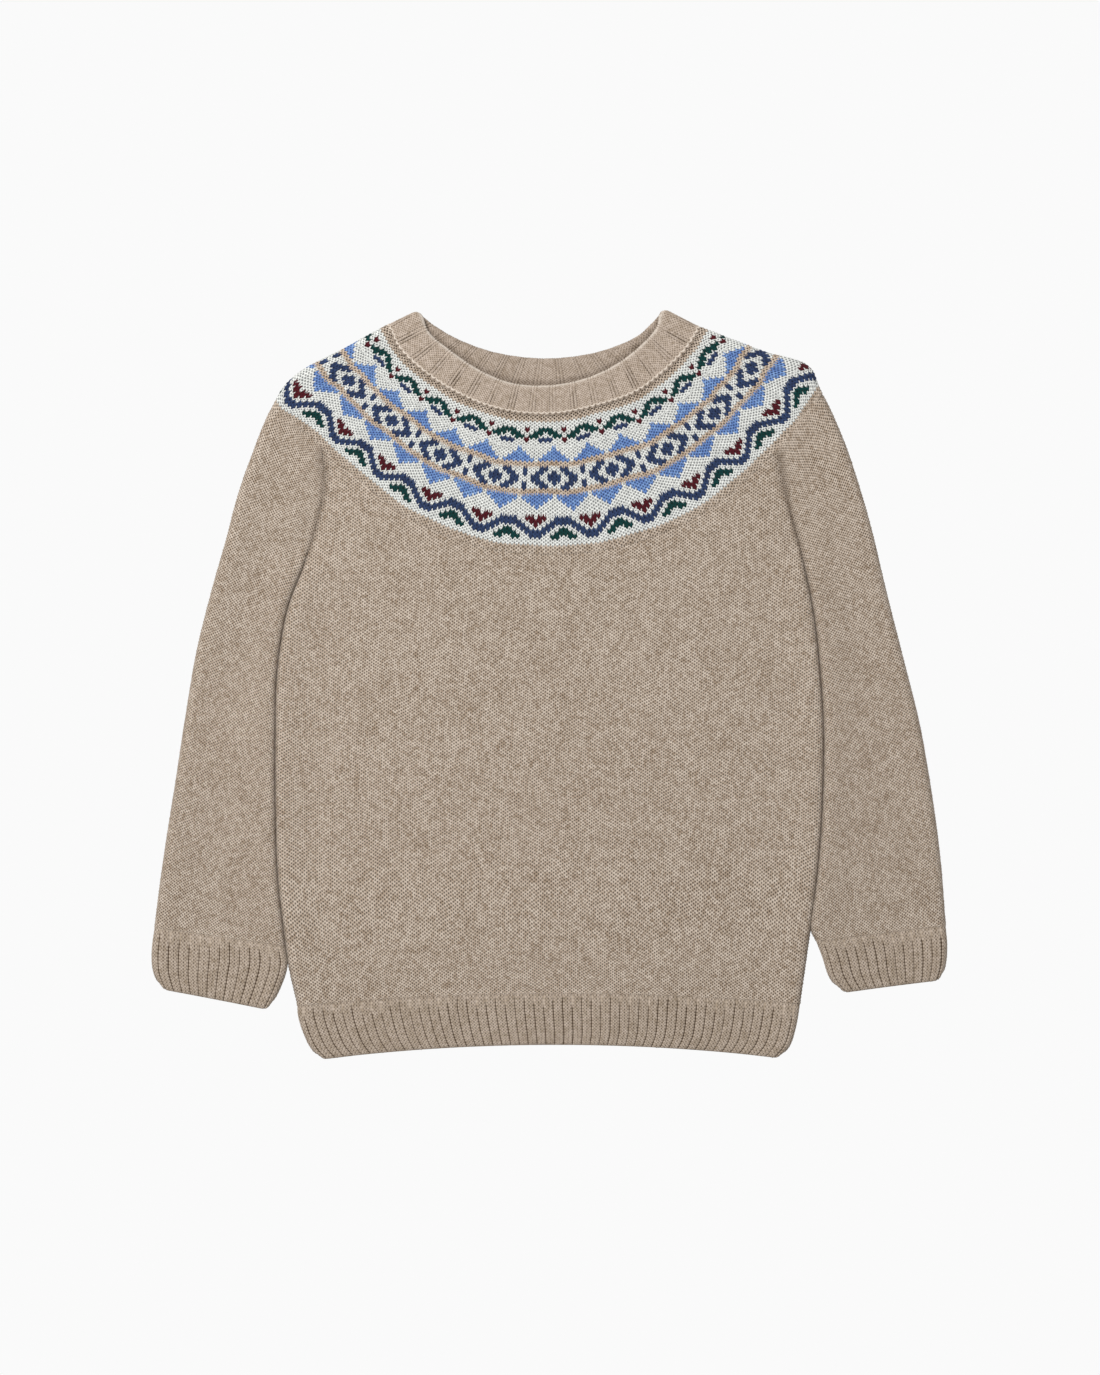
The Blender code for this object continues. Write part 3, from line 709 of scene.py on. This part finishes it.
def yarn_material(name):
    """Wool: mottled light and dark fibres with a soft sheen. Painted shade makes it a little darker between
    stitches and dark in the holes where four half stitches meet and in the grooves of ribs, and a painted
    highlight lightens it where the cut is negative."""
    light, dark, hole_shade, mottle, middle = YARNS[name]
    made = bpy.data.materials.new("yarn_" + name)
    made.use_nodes = True
    nodes, links = made.node_tree.nodes, made.node_tree.links
    shader = nodes["Principled BSDF"]
    coordinates = nodes.new("ShaderNodeTexCoord")

    def attribute(key, output="Fac"):
        node = nodes.new("ShaderNodeAttribute")
        node.attribute_name = key
        return node.outputs[output]

    def noise(scale, detail):
        texture = nodes.new("ShaderNodeTexNoise")
        texture.inputs["Scale"].default_value = scale
        texture.inputs["Detail"].default_value = detail
        links.new(coordinates.outputs["Object"], texture.inputs["Vector"])
        return texture.outputs["Fac"]

    def math_node(kind, *values, clamp=False):
        node = nodes.new("ShaderNodeMath")
        node.operation = kind
        node.use_clamp = clamp
        for socket, value in zip(node.inputs, values):
            if isinstance(value, (int, float)):
                socket.default_value = value
            else:
                links.new(value, socket)
        return node.outputs["Value"]

    def ranged(value, low, high, new_low, new_high):
        node = nodes.new("ShaderNodeMapRange")
        for key, number in (("From Min", low), ("From Max", high), ("To Min", new_low), ("To Max", new_high)):
            node.inputs[key].default_value = number
        links.new(value, node.inputs["Value"])
        return node.outputs["Result"]

    def mixed(first, second, factor, blend="MIX"):
        node = nodes.new("ShaderNodeMix")
        node.data_type = "RGBA"
        node.blend_type = blend
        for key, value in (("A", first), ("B", second)):
            socket = next(i for i in node.inputs if i.name == key and i.type == "RGBA")
            if isinstance(value, tuple):
                socket.default_value = (*value, 1)
            else:
                links.new(value, socket)
        links.new(factor, node.inputs["Factor"])
        return next(o for o in node.outputs if o.type == "RGBA")

    # Painted shade: dark in the holes where four half stitches meet, and a little darker between columns of
    # stitches
    spot = nodes.new("ShaderNodeSeparateXYZ")
    links.new(attribute("stitch", "Vector"), spot.inputs["Vector"])
    holes = []
    between = spot.outputs["X"]
    for across, start, strength in ((between, 0.0, 1.0), (math_node("SUBTRACT", 1.0, between), 0.5, middle)):
        along = math_node("WRAP", math_node("ADD", spot.outputs["Y"], start), 0.5, -0.5)
        along = math_node("MULTIPLY", math_node("ABSOLUTE", along), HOLE_TALL)
        along = math_node("POWER", along, 2.0)
        across = math_node("POWER", math_node("MULTIPLY", across, HOLE_WIDE), 2.0)
        reach = math_node("SQRT", math_node("ADD", across, along))
        holes.append(math_node("MULTIPLY", ranged(reach, HOLE_IN, HOLE_OUT, 1.0, 0.0), strength))
    holes = math_node("MULTIPLY", math_node("ADD", *holes), spot.outputs["Z"], clamp=True)
    between_shade = math_node("MULTIPLY", ranged(between, 0.0, 0.25, 1.0, 0.0), spot.outputs["Z"])

    parts = [ranged(noise(*kind), low, high, 0.0, share * mottle) for *kind, low, high, share in MOTTLES]
    parts.append(ranged(attribute("shade"), 0.0, 1.0, *(shade * mottle for shade in SHADES)))
    amount = math_node("ADD", math_node("ADD", *parts[:2]), math_node("ADD", *parts[2:]), clamp=True)
    colour = mixed(light, dark, amount)
    between_shade_tint = tuple(1 - 0.25 * (1 - middle) * (1 - c) for c in hole_shade)
    colour = mixed(colour, between_shade_tint, between_shade, "MULTIPLY")
    colour = mixed(colour, hole_shade, holes, "MULTIPLY")
    # Painted shade where the cut attribute is positive, and a painted highlight where it is negative
    colour = mixed(colour, PAINTED_SHADE_TINT, ranged(attribute("cut"), 0.05, 1.0, 0.0, 1.0), "MULTIPLY")
    colour = mixed(colour, PAINTED_HIGHLIGHT_COLOUR, ranged(attribute("cut"), 0.0, -1.0, 0.0, 1.0))
    links.new(colour, shader.inputs["Base Color"])
    for key, value in WOOL.items():
        shader.inputs[key].default_value = value
    twist = math_node("ADD", spot.outputs["Y"], math_node("MULTIPLY", between, PLY_LEAN))
    ply = math_node("MULTIPLY", math_node("SINE", math_node("MULTIPLY", twist, PLY_TURNS)), PLY)
    bump = nodes.new("ShaderNodeBump")
    bump.inputs["Strength"].default_value = BUMP
    bump.inputs["Distance"].default_value = BUMP_DEPTH
    links.new(math_node("ADD", noise(FIBRES, 2.0), ply), bump.inputs["Height"])
    links.new(bump.outputs["Normal"], shader.inputs["Normal"])
    return made


MATERIALS = {name: yarn_material(name) for name in YARNS}


# -------- yoke


def fold_of(y):
    """1 where the side of the body is a fold, 0 where it is sewn to the sleeve."""
    return 1 - eased(y, UNDERARM_LOW, UNDERARM_HIGH)


def sag_of(y):
    """The trough between sleeve and body runs out towards the yoke."""
    return 1 - 0.85 * eased(y, *TROUGH_END)


YOKE_GRID = yoke_rings(np.arange(0, YOKE_ROWS + 1))
# Points of a ring on the front, as many on the back, and those over a fold
FRONT_COUNT, FOLD_COUNT = (len(YOKE_FRONT) + 1) * RING_STEPS + 1, 2 * len(TURNS) + 1
FRONT_SEAM = YOKE_GRID[-1][:FRONT_COUNT]
FRONT_SEAM = FRONT_SEAM[np.argsort(FRONT_SEAM[:, 0])]
BACK_SEAM = YOKE_GRID[-1][FRONT_COUNT + FOLD_COUNT : 2 * FRONT_COUNT + FOLD_COUNT]
BACK_SEAM = BACK_SEAM[np.argsort(BACK_SEAM[:, 0])]


def ring_place(grid):
    """A function from places to points of a cloth of closed rows, by the count of their points."""
    count = grid.shape[1]
    closed = np.concatenate([grid, grid[:, :1]], axis=1)

    def place(k, v):
        k = np.mod(k, count)
        v = np.clip(v, 0, len(grid) - 1)
        i, j = np.minimum(v.astype(int), len(grid) - 2), np.minimum(k.astype(int), count - 1)
        a, b = (v - i)[..., None], (k - j)[..., None]
        top = closed[i, j] * (1 - b) + closed[i, j + 1] * b
        bottom = closed[i + 1, j] * (1 - b) + closed[i + 1, j + 1] * b
        return top * (1 - a) + bottom * a

    return place


def folds_along(line, arc):
    """How far along a ring its folds lie from its first point, the left one before it."""
    return arc[len(line) - len(TURNS) - 1] - arc[-1], arc[FRONT_COUNT + len(TURNS)]


def ring_index(line, all_round, in_front):
    """A function from places counted from the middle of the front to points of a ring."""
    arc = runs(np.vstack([line, line[:1]]))
    middle = np.interp(0, line[:FRONT_COUNT, 0], arc[:FRONT_COUNT])
    left_fold, right_fold = folds_along(line, arc)
    width = (right_fold - left_fold) / in_front
    start, stop = (left_fold - middle) / width, (right_fold - middle) / width

    def index(s):
        turned = np.mod(s - start, all_round) + start
        at = np.interp(turned, [start, stop, start + all_round], [left_fold, right_fold, left_fold + arc[-1]])
        return np.interp(np.mod(at, arc[-1]), arc, np.arange(len(arc)))

    return index


def loose(row):
    """How open the knitting is in each row of the yoke, as the strength of the painted shade in its holes."""
    return bend(row, OPEN_ROWS, 1)


def yoke():
    cloth = Cloth()
    letters, yarns, darks = zip(*YOKE_YARNS)
    ring_at = ring_place(YOKE_GRID)
    first = 0
    for all_round, in_front, start, chart in BANDS:
        rows = len(chart)
        index = ring_index(YOKE_GRID[first + rows // 2], all_round, in_front)
        repeat = max(len(row) for row in chart)
        table = np.array([[letters.index(row[k % len(row)]) for k in range(repeat)] for row in chart])

        def place(s, v, index=index):
            k = index(s)
            wave = sum(size * np.sin(turn * k + lean * v + phase) for size, turn, lean, phase in YOKE_WAVES)
            fade = share_of(v / YOKE_WAVES_FROM)
            return ring_at(k, v + wave * fade * share_of((YOKE_ROWS - v) / YOKE_WAVES_FROM))

        def colours(m, c, table=table, repeat=repeat, first=first, rows=rows):
            return table[np.clip(c - first, 0, rows - 1), (m // 2) % repeat]

        lines = stocking(0, all_round, YOKE_SLANT, start - 0.5, YOKE_RISE)
        ends = (max(first - 0.4, 0), min(first + rows + 1, YOKE_ROWS))
        stitches(cloth, place, -1, lines, (first - 1, first + rows), ends, colours, 0.8, darks, opening=loose)
        first += rows
    inside = np.arange(0, YOKE_GRID.shape[1] + 1, 2), np.linspace(0, YOKE_ROWS, 12)
    cloth.lining(ring_at, -1, *inside, rims="tb")
    return cloth.build("yoke_knit", yarns)


# -------- body and hem ribs


def crease(place):
    """Shade beside the line where a sleeve lies against the body: soft and wide above the underarm."""

    def shadow(u, v, cuts):
        at = place(u, v)
        x, y = at[..., 0], at[..., 1]
        apart = [np.abs(x - np.interp(y, line[:, 1], line[:, 0])) for line in (SIDE_LEFT, SIDE_RIGHT)]
        beside = np.minimum(*apart)
        high = eased(y, UNDERARM_LOW, UNDERARM_HIGH)
        wide = SOFT_WIDE + SOFT_WIDER * eased(y, *SOFT_SPREADS)
        soft = SOFT_DARK * np.exp(-((beside / wide) ** 2)) * (1 - 0.85 * eased(y, *SOFT_FADES))
        core = np.where(x < 0, *CORE_DARK) * np.exp(-((beside / CORE_WIDE) ** 2))
        core = core * (1 - eased(y, *CORE_FADES))
        return cuts + high * (soft + core) + LINE_DARK * (1 - high) * np.exp(-((beside / LINE_WIDE) ** 2))

    return shadow


def body_place(upper):
    """The outer face of the front or the back."""
    seam = FRONT_SEAM if upper else BACK_SEAM

    def place(u, v):
        v = v + drift(u * WALE, v * BODY_COURSE, BODY_COURSE * len(BODY_COURSES)) / BODY_COURSE
        y = np.interp(v, np.arange(len(BODY_COURSES)), BODY_COURSES) + np.minimum(v, 0) * COURSES[0][1]
        fold = fold_of(y)
        gap = SIDE_GAP * fold - SIDE_LAP * (1 - fold)
        left = np.interp(y, SIDE_LEFT[:, 1], SIDE_LEFT[:, 0]) + gap
        right = np.interp(y, SIDE_RIGHT[:, 1], SIDE_RIGHT[:, 0]) - gap
        x = u * WALE * bend(y, WALES, 1) + bend(y, WALES, 2)
        arc = EDGE_ARC + (ROLL_ARC - EDGE_ARC) * fold
        roll = EDGE + (ROLL - EDGE) * fold
        inset, z = section(x - left + arc - roll, right - left, fold, fold, FLAT_TOP, upper, sag_of(y))
        at = left + inset
        across = inset / (right - left)
        low = share_of((ARCH_FROM - y) / ARCH_OVER) ** 2
        y = y + low * (ARCH * (1 - (2 * across - 1) ** 2) + ARCH_LEAN * across) - BODY_DROP
        top = np.interp(at, seam[:, 0], seam[:, 1]) + TUCK
        sunk = eased(y, top - TUCK - 0.3, top)
        y = np.minimum(y, top)
        return np.stack([at, y, z + BODY_SINK[0 if upper else 1] * sunk], -1)

    return place


def body(name, upper):
    cloth = Cloth()
    facing = 1 if upper else -1
    rows, place = len(BODY_COURSES) - 1, body_place(upper)
    lines, spans, ends = stocking(-BODY_WALES, BODY_WALES, -BODY_SLANT), (-2, rows), (-0.7, rows)
    stitches(cloth, place, facing, lines, spans, ends, shadow=crease(place), opening=OPEN_BODY)
    cloth.lining(place, facing, np.arange(-BODY_WALES - 1, BODY_WALES + 2, 3), np.arange(0, rows + 1, 6))
    return cloth.build(name, ["oatmeal"])


def rib_lines(count):
    """Lines across a rib, from 0 to count: grooves between flat bands of two stitches."""
    lines = []
    start = RIB_GROOVE / RIB_WIDE
    step = (1 - 2 * start) / 4
    for k in range(count):
        lines.append((k, 0.0, 0.4, 0.0, 1.0))
        for m in range(5):
            slant, rise = -BODY_SLANT if m % 2 else 0.0, 0.0 if m == 4 else RIB_RISE
            lines.append((k + start + m * step, slant, 0.0, rise, 0.0))
    return lines + [(count, 0.0, 0.4, 0.0, 1.0)]


def groove_shade(count, courses, start=0.0):
    """The painted shade in the grooves of a rib, made uneven and starting raggedly below its top course."""
    strength = RNG.uniform(*GROOVE_DARK, count + 1)
    begin = RNG.uniform(*GROOVE_STARTS, count + 1)

    def shadow(u, v, cuts):
        k = np.clip(np.round(u - start).astype(int), 0, count)
        down = share_of((courses - begin[k] - v) / GROOVE_GROWS)
        return cuts * strength[k] * down * (0.9 + 0.1 * np.sin(1.1 * v + 3.0 * k))

    return shadow


def rounded(inset, width, v, radius, courses):
    """How far a corner of the lower edge is rounded up."""
    past = share_of(1 - np.minimum(inset, width - inset) / radius)
    return radius * (1 - np.sqrt(1 - past**2)) * share_of(1 - v / courses)


def sunken(v, last, upper):
    """How far a rib sinks at its lower edge and from its last course on."""
    edge = share_of(1 - v / 0.8) ** 2 + share_of(v - last) + 0.25 * share_of(v - last + 1)
    return RIB_SINK[0 if upper else 1] * edge


def hem_place(upper):
    """The outer face of a hem rib."""
    rows = smooth(HEM_ROWS[::-1], RIB_STEPS[0])
    t = runs(rows[:, :2]) / runs(rows[:, :2])[-1]

    def place(u, v):
        at = [np.interp(v / HEM_COURSES, t, rows[:, k]) for k in range(5)]
        past = share_of(v - HEM_COURSES)
        left, right = at[0] + SIDE_GAP, at[2] - SIDE_GAP
        width = right - left
        length = width + 2 * (ROLL_ARC - ROLL)
        inset, z = section((u / HEM_RIBS) * length, width, 1.0, 1.0, FLAT_TOP, upper)
        across = inset / width
        y = at[1] * (1 - across) + at[3] * across + at[4] * (1 - (2 * across - 1) ** 2)
        y = y + rounded(inset, width, v, *HEM_CORNER)
        return np.stack([left + inset, y + RIB_TUCK * past, z + sunken(v, HEM_COURSES, upper)], -1)

    return place


def hem(name, upper):
    cloth = Cloth()
    facing = 1 if upper else -1
    last, place, lines = HEM_COURSES, hem_place(upper), rib_lines(HEM_RIBS)
    spans, ends, shadow = (-1, last + 1), (0, last + 1), groove_shade(HEM_RIBS, last)
    stitches(cloth, place, facing, lines, spans, ends, shadow=shadow, opening=OPEN_RIB)
    cloth.lining(place, facing, np.linspace(0, HEM_RIBS, 60), np.linspace(0, last + 1, 6))
    return cloth.build(name, ["rib"])


# -------- sleeves and cuffs


def tube_place(inner_lines, outer_line, courses, width_of, seam_from=None):
    """Cloth of a flat tube. Places across are positive on top and negative below, from the outer fold.
    A sleeve sinks under the yoke from a course on, and a cuff has no such course."""

    def place(u, v):
        if seam_from:
            v = v + drift(u * SLEEVE_WALE, v * SLEEVE_COURSE, courses[-1] * SLEEVE_COURSE) / SLEEVE_COURSE
        at = np.clip(v, courses[0], courses[-1])
        k = np.interp(at, courses, np.arange(len(courses)))
        outer = point_at(outer_line, k)
        points = []
        for upper, line in zip((True, False), inner_lines):
            inner = point_at(line, k)
            across = inner - outer
            width = norm(across, axis=-1)
            across = across / width[..., None]
            fold = fold_of(inner[..., 1]) if seam_from else 1.0
            width = width - SIDE_GAP * fold + SIDE_LAP * (1 - fold)
            cloth = width_of(np.abs(u), width)
            inset, z = section(cloth, width, 1.0, fold, SLEEVE_TOP, upper, sag_of(inner[..., 1]))
            point = outer + across * inset[..., None]
            if seam_from:
                z = z + SLEEVE_SINK[0 if upper else 1] * eased(at, seam_from - 0.2, courses[-1])
            else:
                z = z + sunken(v, courses[-1] - 1, upper)
                point[..., 1] += rounded(inset, width, v, *CUFF_CORNER)
            points.append(np.concatenate([point, z[..., None]], -1))
        return np.where((u >= 0)[..., None], *points)

    return place


def courses_along(inner, outer, height):
    """At which course each point of a tube's edges lies."""
    middle = (inner + outer) / 2
    return runs(middle) / height


def sleeve(name, left):
    side = 0 if left else 2
    rib = CUFF_LEFT if left else CUFF_RIGHT
    low = [] if left else [SLEEVE_LEAVES]
    outer = np.vstack([rib[0, 2:4], *low, SLEEVE_FOLDS[:, side : side + 2]])
    fold = (FOLD_LEFT if left else FOLD_RIGHT)[:, 1:]
    away = unit(fold[-2] - fold[-1])
    inward = np.array([away[1], -away[0]]) * (1 if left else -1)
    down, inner_down = unit(outer[0] - outer[1]), unit(rib[1, 0:2] - rib[0, 0:2])
    start = rib[0, 0:2] + (np.array(LEFT_START) if left else 0)
    inner_lines = []
    for corner in (BODY_SIDES[-1, side : side + 2], BACK_CORNERS[0 if left else 1]):
        line = np.vstack([start, BODY_SIDES[3 - len(low) : -1, side : side + 2], corner])
        up = line[-1] - line[-2]
        ends = line[0] + inner_down * OVER_CUFF, line[-1] + TUCK * up / norm(up)
        inner_lines.append(smooth(np.vstack([ends[0], line, ends[1]]), SLEEVE_STEPS))
    ends = outer[0] + down * OVER_CUFF, outer[-1] + TUCK * away + TUCK_IN * inward
    outer = smooth(np.vstack([ends[0], outer, ends[1]]), SLEEVE_STEPS)
    courses = courses_along(inner_lines[0], outer, SLEEVE_COURSE) - OVER_CUFF / SLEEVE_COURSE
    seam_from = courses[-SLEEVE_STEPS - 1]

    def width_of(u, width):
        return u * SLEEVE_WALE

    place = tube_place(inner_lines, outer, courses, width_of, seam_from)
    cloth = Cloth()
    facing = 1 if left else -1
    lines = stocking(-SLEEVE_WALES, SLEEVE_WALES, -BODY_SLANT)
    spans, ends = (-2, int(courses[-1]) + 1), (courses[0], courses[-1])
    stitches(cloth, place, facing, lines, spans, ends, shadow=crease(place), opening=OPEN_SLEEVE)
    inside = np.arange(-SLEEVE_WALES, SLEEVE_WALES + 1, 2), np.linspace(0, courses[-1], 30)
    cloth.lining(place, facing, *inside)
    return cloth.build(name, ["oatmeal"])


def cuff(name, left):
    rows = (CUFF_LEFT if left else CUFF_RIGHT)[::-1]
    inner, outer = smooth(rows[:, 0:2], RIB_STEPS[1]), smooth(rows[:, 2:4], RIB_STEPS[1])
    courses = courses_along(inner, outer, CUFF_COURSE)
    count = int(round(courses[-1]))
    courses = np.append(courses * count / courses[-1], count + 1)
    up = unit(outer[-1] - outer[-2]) * RIB_TUCK
    inner, outer = np.vstack([inner, inner[-1] + up]), np.vstack([outer, outer[-1] + up])

    def width_of(u, width):
        return u / CUFF_RIBS * (width + 2 * (ROLL_ARC - ROLL))

    place = tube_place((inner, inner), outer, courses, width_of)
    lines = [(u - CUFF_RIBS, *rest) for u, *rest in rib_lines(2 * CUFF_RIBS)]
    facing = 1 if left else -1
    cloth = Cloth()
    spans, ends, shadow = (-1, count + 1), (0, count + 1), groove_shade(2 * CUFF_RIBS, count, -CUFF_RIBS)
    stitches(cloth, place, facing, lines, spans, ends, shadow=shadow, opening=OPEN_RIB)
    cloth.lining(place, facing, np.linspace(-CUFF_RIBS, CUFF_RIBS, 40), np.linspace(0, count + 1, 6))
    return cloth.build(name, ["rib"])


# -------- neckband


def band_ring(share, inner):
    """A row of the neckband's outer or inner face, from its foot (0) to its free edge (1)."""
    stations = []
    for table in (YOKE_FRONT, YOKE_BACK):
        neck, free = table[:, 0:2], table[:, 4:6]
        stations.append(neck + (free - neck) * share)
    folds = []
    for table, tip in zip((FOLD_LEFT, FOLD_RIGHT), NECK_TIPS):
        at, inward = fold_point(table, 0.0)
        past = share_of(1 - (1 - share) / TIP_ROUND)
        turned = TIP_RADIUS * (1 - math.sqrt(1 - past**2))
        inset = max(turned, INNER_TURN) if inner else turned
        folds.append((at + (tip - at) * share + inward * inset, inward))
    return ring(stations, folds, *(BAND_INNER if inner else BAND_OUTER))


def band_grid():
    """Rows of the neckband, from its foot over its free edge and down its inner face."""
    profile = [(share, 0.0) for share in np.linspace(0.0, 1 - BAND_LIP, BAND_STEPS)]
    for turn in BAND_TURNS:
        profile.append((1 - BAND_LIP + BAND_LIP * math.sin(turn), (1 - math.cos(turn)) / 2))
    profile += [(share, 1.0) for share in np.linspace(1 - BAND_LIP, -0.02, BAND_STEPS)]
    return np.array([band_ring(share, False) * (1 - b) + band_ring(share, True) * b for share, b in profile])


def band_lines():
    """Lines round the neckband: groups of three fine grooves, and plain stitches between them."""
    lines = []
    step = (BAND_WIDE - 2 * GROOVE_STEP - 2 * GROOVE_SIDE) / 8
    for k in range(BAND_GROUPS):
        start = k * BAND_WIDE
        for groove in range(3):
            lines.append((start + GROOVE_STEP * groove, 0.0, *BAND_GROOVE))
            if groove < 2:
                lines.append((start + GROOVE_STEP * (groove + 0.5), 0.3, *BAND_RIDGE))
        plain = start + 2 * GROOVE_STEP + GROOVE_SIDE
        for m in range(9):
            slant, rise = BODY_SLANT if m % 2 else 0.0, RIB_RISE if m < 8 else 0.1
            lines.append((plain + m * step, slant, 0.0, rise, 0.0))
    return lines + [(BAND_GROUPS * BAND_WIDE, 0.0, *BAND_GROOVE)]


def band_shadow(place):
    """Uneven painted shade in the grooves that fades upwards, painted shade inside the neck, and a painted
    highlight along the free edge.
    """
    strength = RNG.uniform(0.35, 1.3, 3 * BAND_GROUPS)
    fades = RNG.uniform(6, 12, 3 * BAND_GROUPS)
    edge = np.vstack([NECK_TIPS[0], YOKE_FRONT[:, 4:6], NECK_TIPS[1]])

    def shadow(u, v, cuts):
        group = np.clip(np.floor(u / BAND_WIDE + 0.01).astype(int), 0, BAND_GROUPS - 1)
        groove = 3 * group + np.clip(np.round((u - group * BAND_WIDE) / GROOVE_STEP).astype(int), 0, 2)
        inside = eased(v, *INSIDE)
        at = place(u, v)
        groove_shade = strength[groove] * (0.6 + 0.4 * share_of(np.abs(at[..., 0]) / 45)) * (1 - 0.6 * inside)
        fade = 1 - 0.7 * eased(v, fades[groove] - 2, fades[groove]) * (v < INSIDE[0])
        groove_shade = groove_shade * share_of((v - 0.3) / 1.5) * fade
        past = at[..., 1] - np.interp(at[..., 0], edge[:, 0], edge[:, 1])
        shaded = inside * (0.14 + 0.36 * share_of(1 - np.abs(past - 0.8) / 3.2))
        # Painted shade in the grooves and inside the neck, less a painted highlight along the free edge
        return cuts * groove_shade + shaded - 0.36 * np.exp(-((v - FREE_EDGE) ** 2))

    return shadow


def foot_loops(cloth, index):
    """Two rows of linked loops along the foot of the neckband."""
    foot_at = ring_place(np.array([band_ring(share, False) for share in FOOT_SHARES]))
    total = BAND_GROUPS * BAND_WIDE
    loops = round(total / LOOP_WIDE)

    def place(u, v):
        return foot_at(index(u), v)

    for up, depth, cusp, bottom, pale in FOOT_LOOPS:
        chain = []
        for k in range(4 * loops + 1):
            shade = cusp if k % 4 == 0 else bottom
            chain.append((k * total / loops / 4, LOOP_SHAPE[k % 4] + up, depth, 0.3, shade))
        stitches(cloth, place, 1, chain, (0, 1), (0, 4), jitter=0.4, opening=0.0, pale=pale)


def neckband():
    grid = band_grid()
    place_at = ring_place(grid)
    total = BAND_GROUPS * BAND_WIDE
    line = grid[BAND_STEPS // 2]
    arc = runs(np.vstack([line, line[:1]]))
    left_fold, right_fold = folds_along(line, arc)
    index = ring_index(line, total, total * (right_fold - left_fold) / arc[-1])

    def place(u, v):
        return place_at(index(u + 0.09 * v * np.sin(u / 23.0)), v)

    cloth = Cloth()
    last, shadow = len(grid) - 1, band_shadow(place)
    spans, ends = (-1, last), (0, last)
    lines = band_lines()
    stitches(cloth, place, 1, lines, spans, ends, jitter=0.6, shadow=shadow, opening=OPEN_BAND, bare=0.25)
    foot_loops(cloth, index)
    return cloth.build("neckband_knit", ["band"])


PIECES = {
    "front": body("front_knit", True),
    "back": body("back_knit", False),
    "yoke": yoke(),
    "sleeve_left": sleeve("sleeve_left_knit", True),
    "sleeve_right": sleeve("sleeve_right_knit", False),
    "hem_rib_front": hem("hem_rib_front_knit", True),
    "hem_rib_back": hem("hem_rib_back_knit", False),
    "cuff_left": cuff("cuff_left_knit", True),
    "cuff_right": cuff("cuff_right_knit", False),
    "neckband": neckband(),
}
# The CAD part of each piece is hidden
for node, piece in PIECES.items():
    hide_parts(node)

# -------- stage, light and camera

floor_mesh = bpy.data.meshes.new("floor")
corners = [(x * FLOOR_REACH, y * FLOOR_REACH, FLOOR_Z) for x, y in ((-1, -1), (1, -1), (1, 1), (-1, 1))]
floor_mesh.from_pydata(corners, [], [(0, 1, 2, 3)])
floor = placed("floor", floor_mesh)
paper = bpy.data.materials.new("paper")
paper.use_nodes = True
tree = paper.node_tree
tree.nodes.clear()
glow = tree.nodes.new("ShaderNodeEmission")
glow.inputs["Color"].default_value = (PAPER, PAPER, PAPER, 1)
tree.links.new(glow.outputs["Emission"], tree.nodes.new("ShaderNodeOutputMaterial").inputs["Surface"])
floor_mesh.materials.append(paper)

world = bpy.data.worlds.new("studio")
bpy.context.scene.world = world
world.use_nodes = True
world.node_tree.nodes["Background"].inputs["Color"].default_value = (1.0, 1.0, 1.0, 1)
world.node_tree.nodes["Background"].inputs["Strength"].default_value = SKY


key = bpy.data.lights.new("key", "AREA")
key.size = KEY_SIZE
key.energy = KEY_WATTS
key.color = KEY_COLOUR
lamp = placed("key", key)
lamp.location = KEY_PLACE
aim = -unit(np.array(KEY_PLACE))
lamp.rotation_euler = (math.acos(-aim[2]), 0, math.atan2(aim[1], aim[0]) - math.pi / 2)

camera_data = bpy.data.cameras.new("camera")
camera_data.lens = LENS
camera_data.sensor_width = SENSOR
camera = placed("camera", camera_data)
camera.location = (0, FIELD_Y, FIELD * LENS / SENSOR + FIELD_Z)
bpy.context.scene.camera = camera
bpy.context.scene.view_settings.view_transform = "Standard"
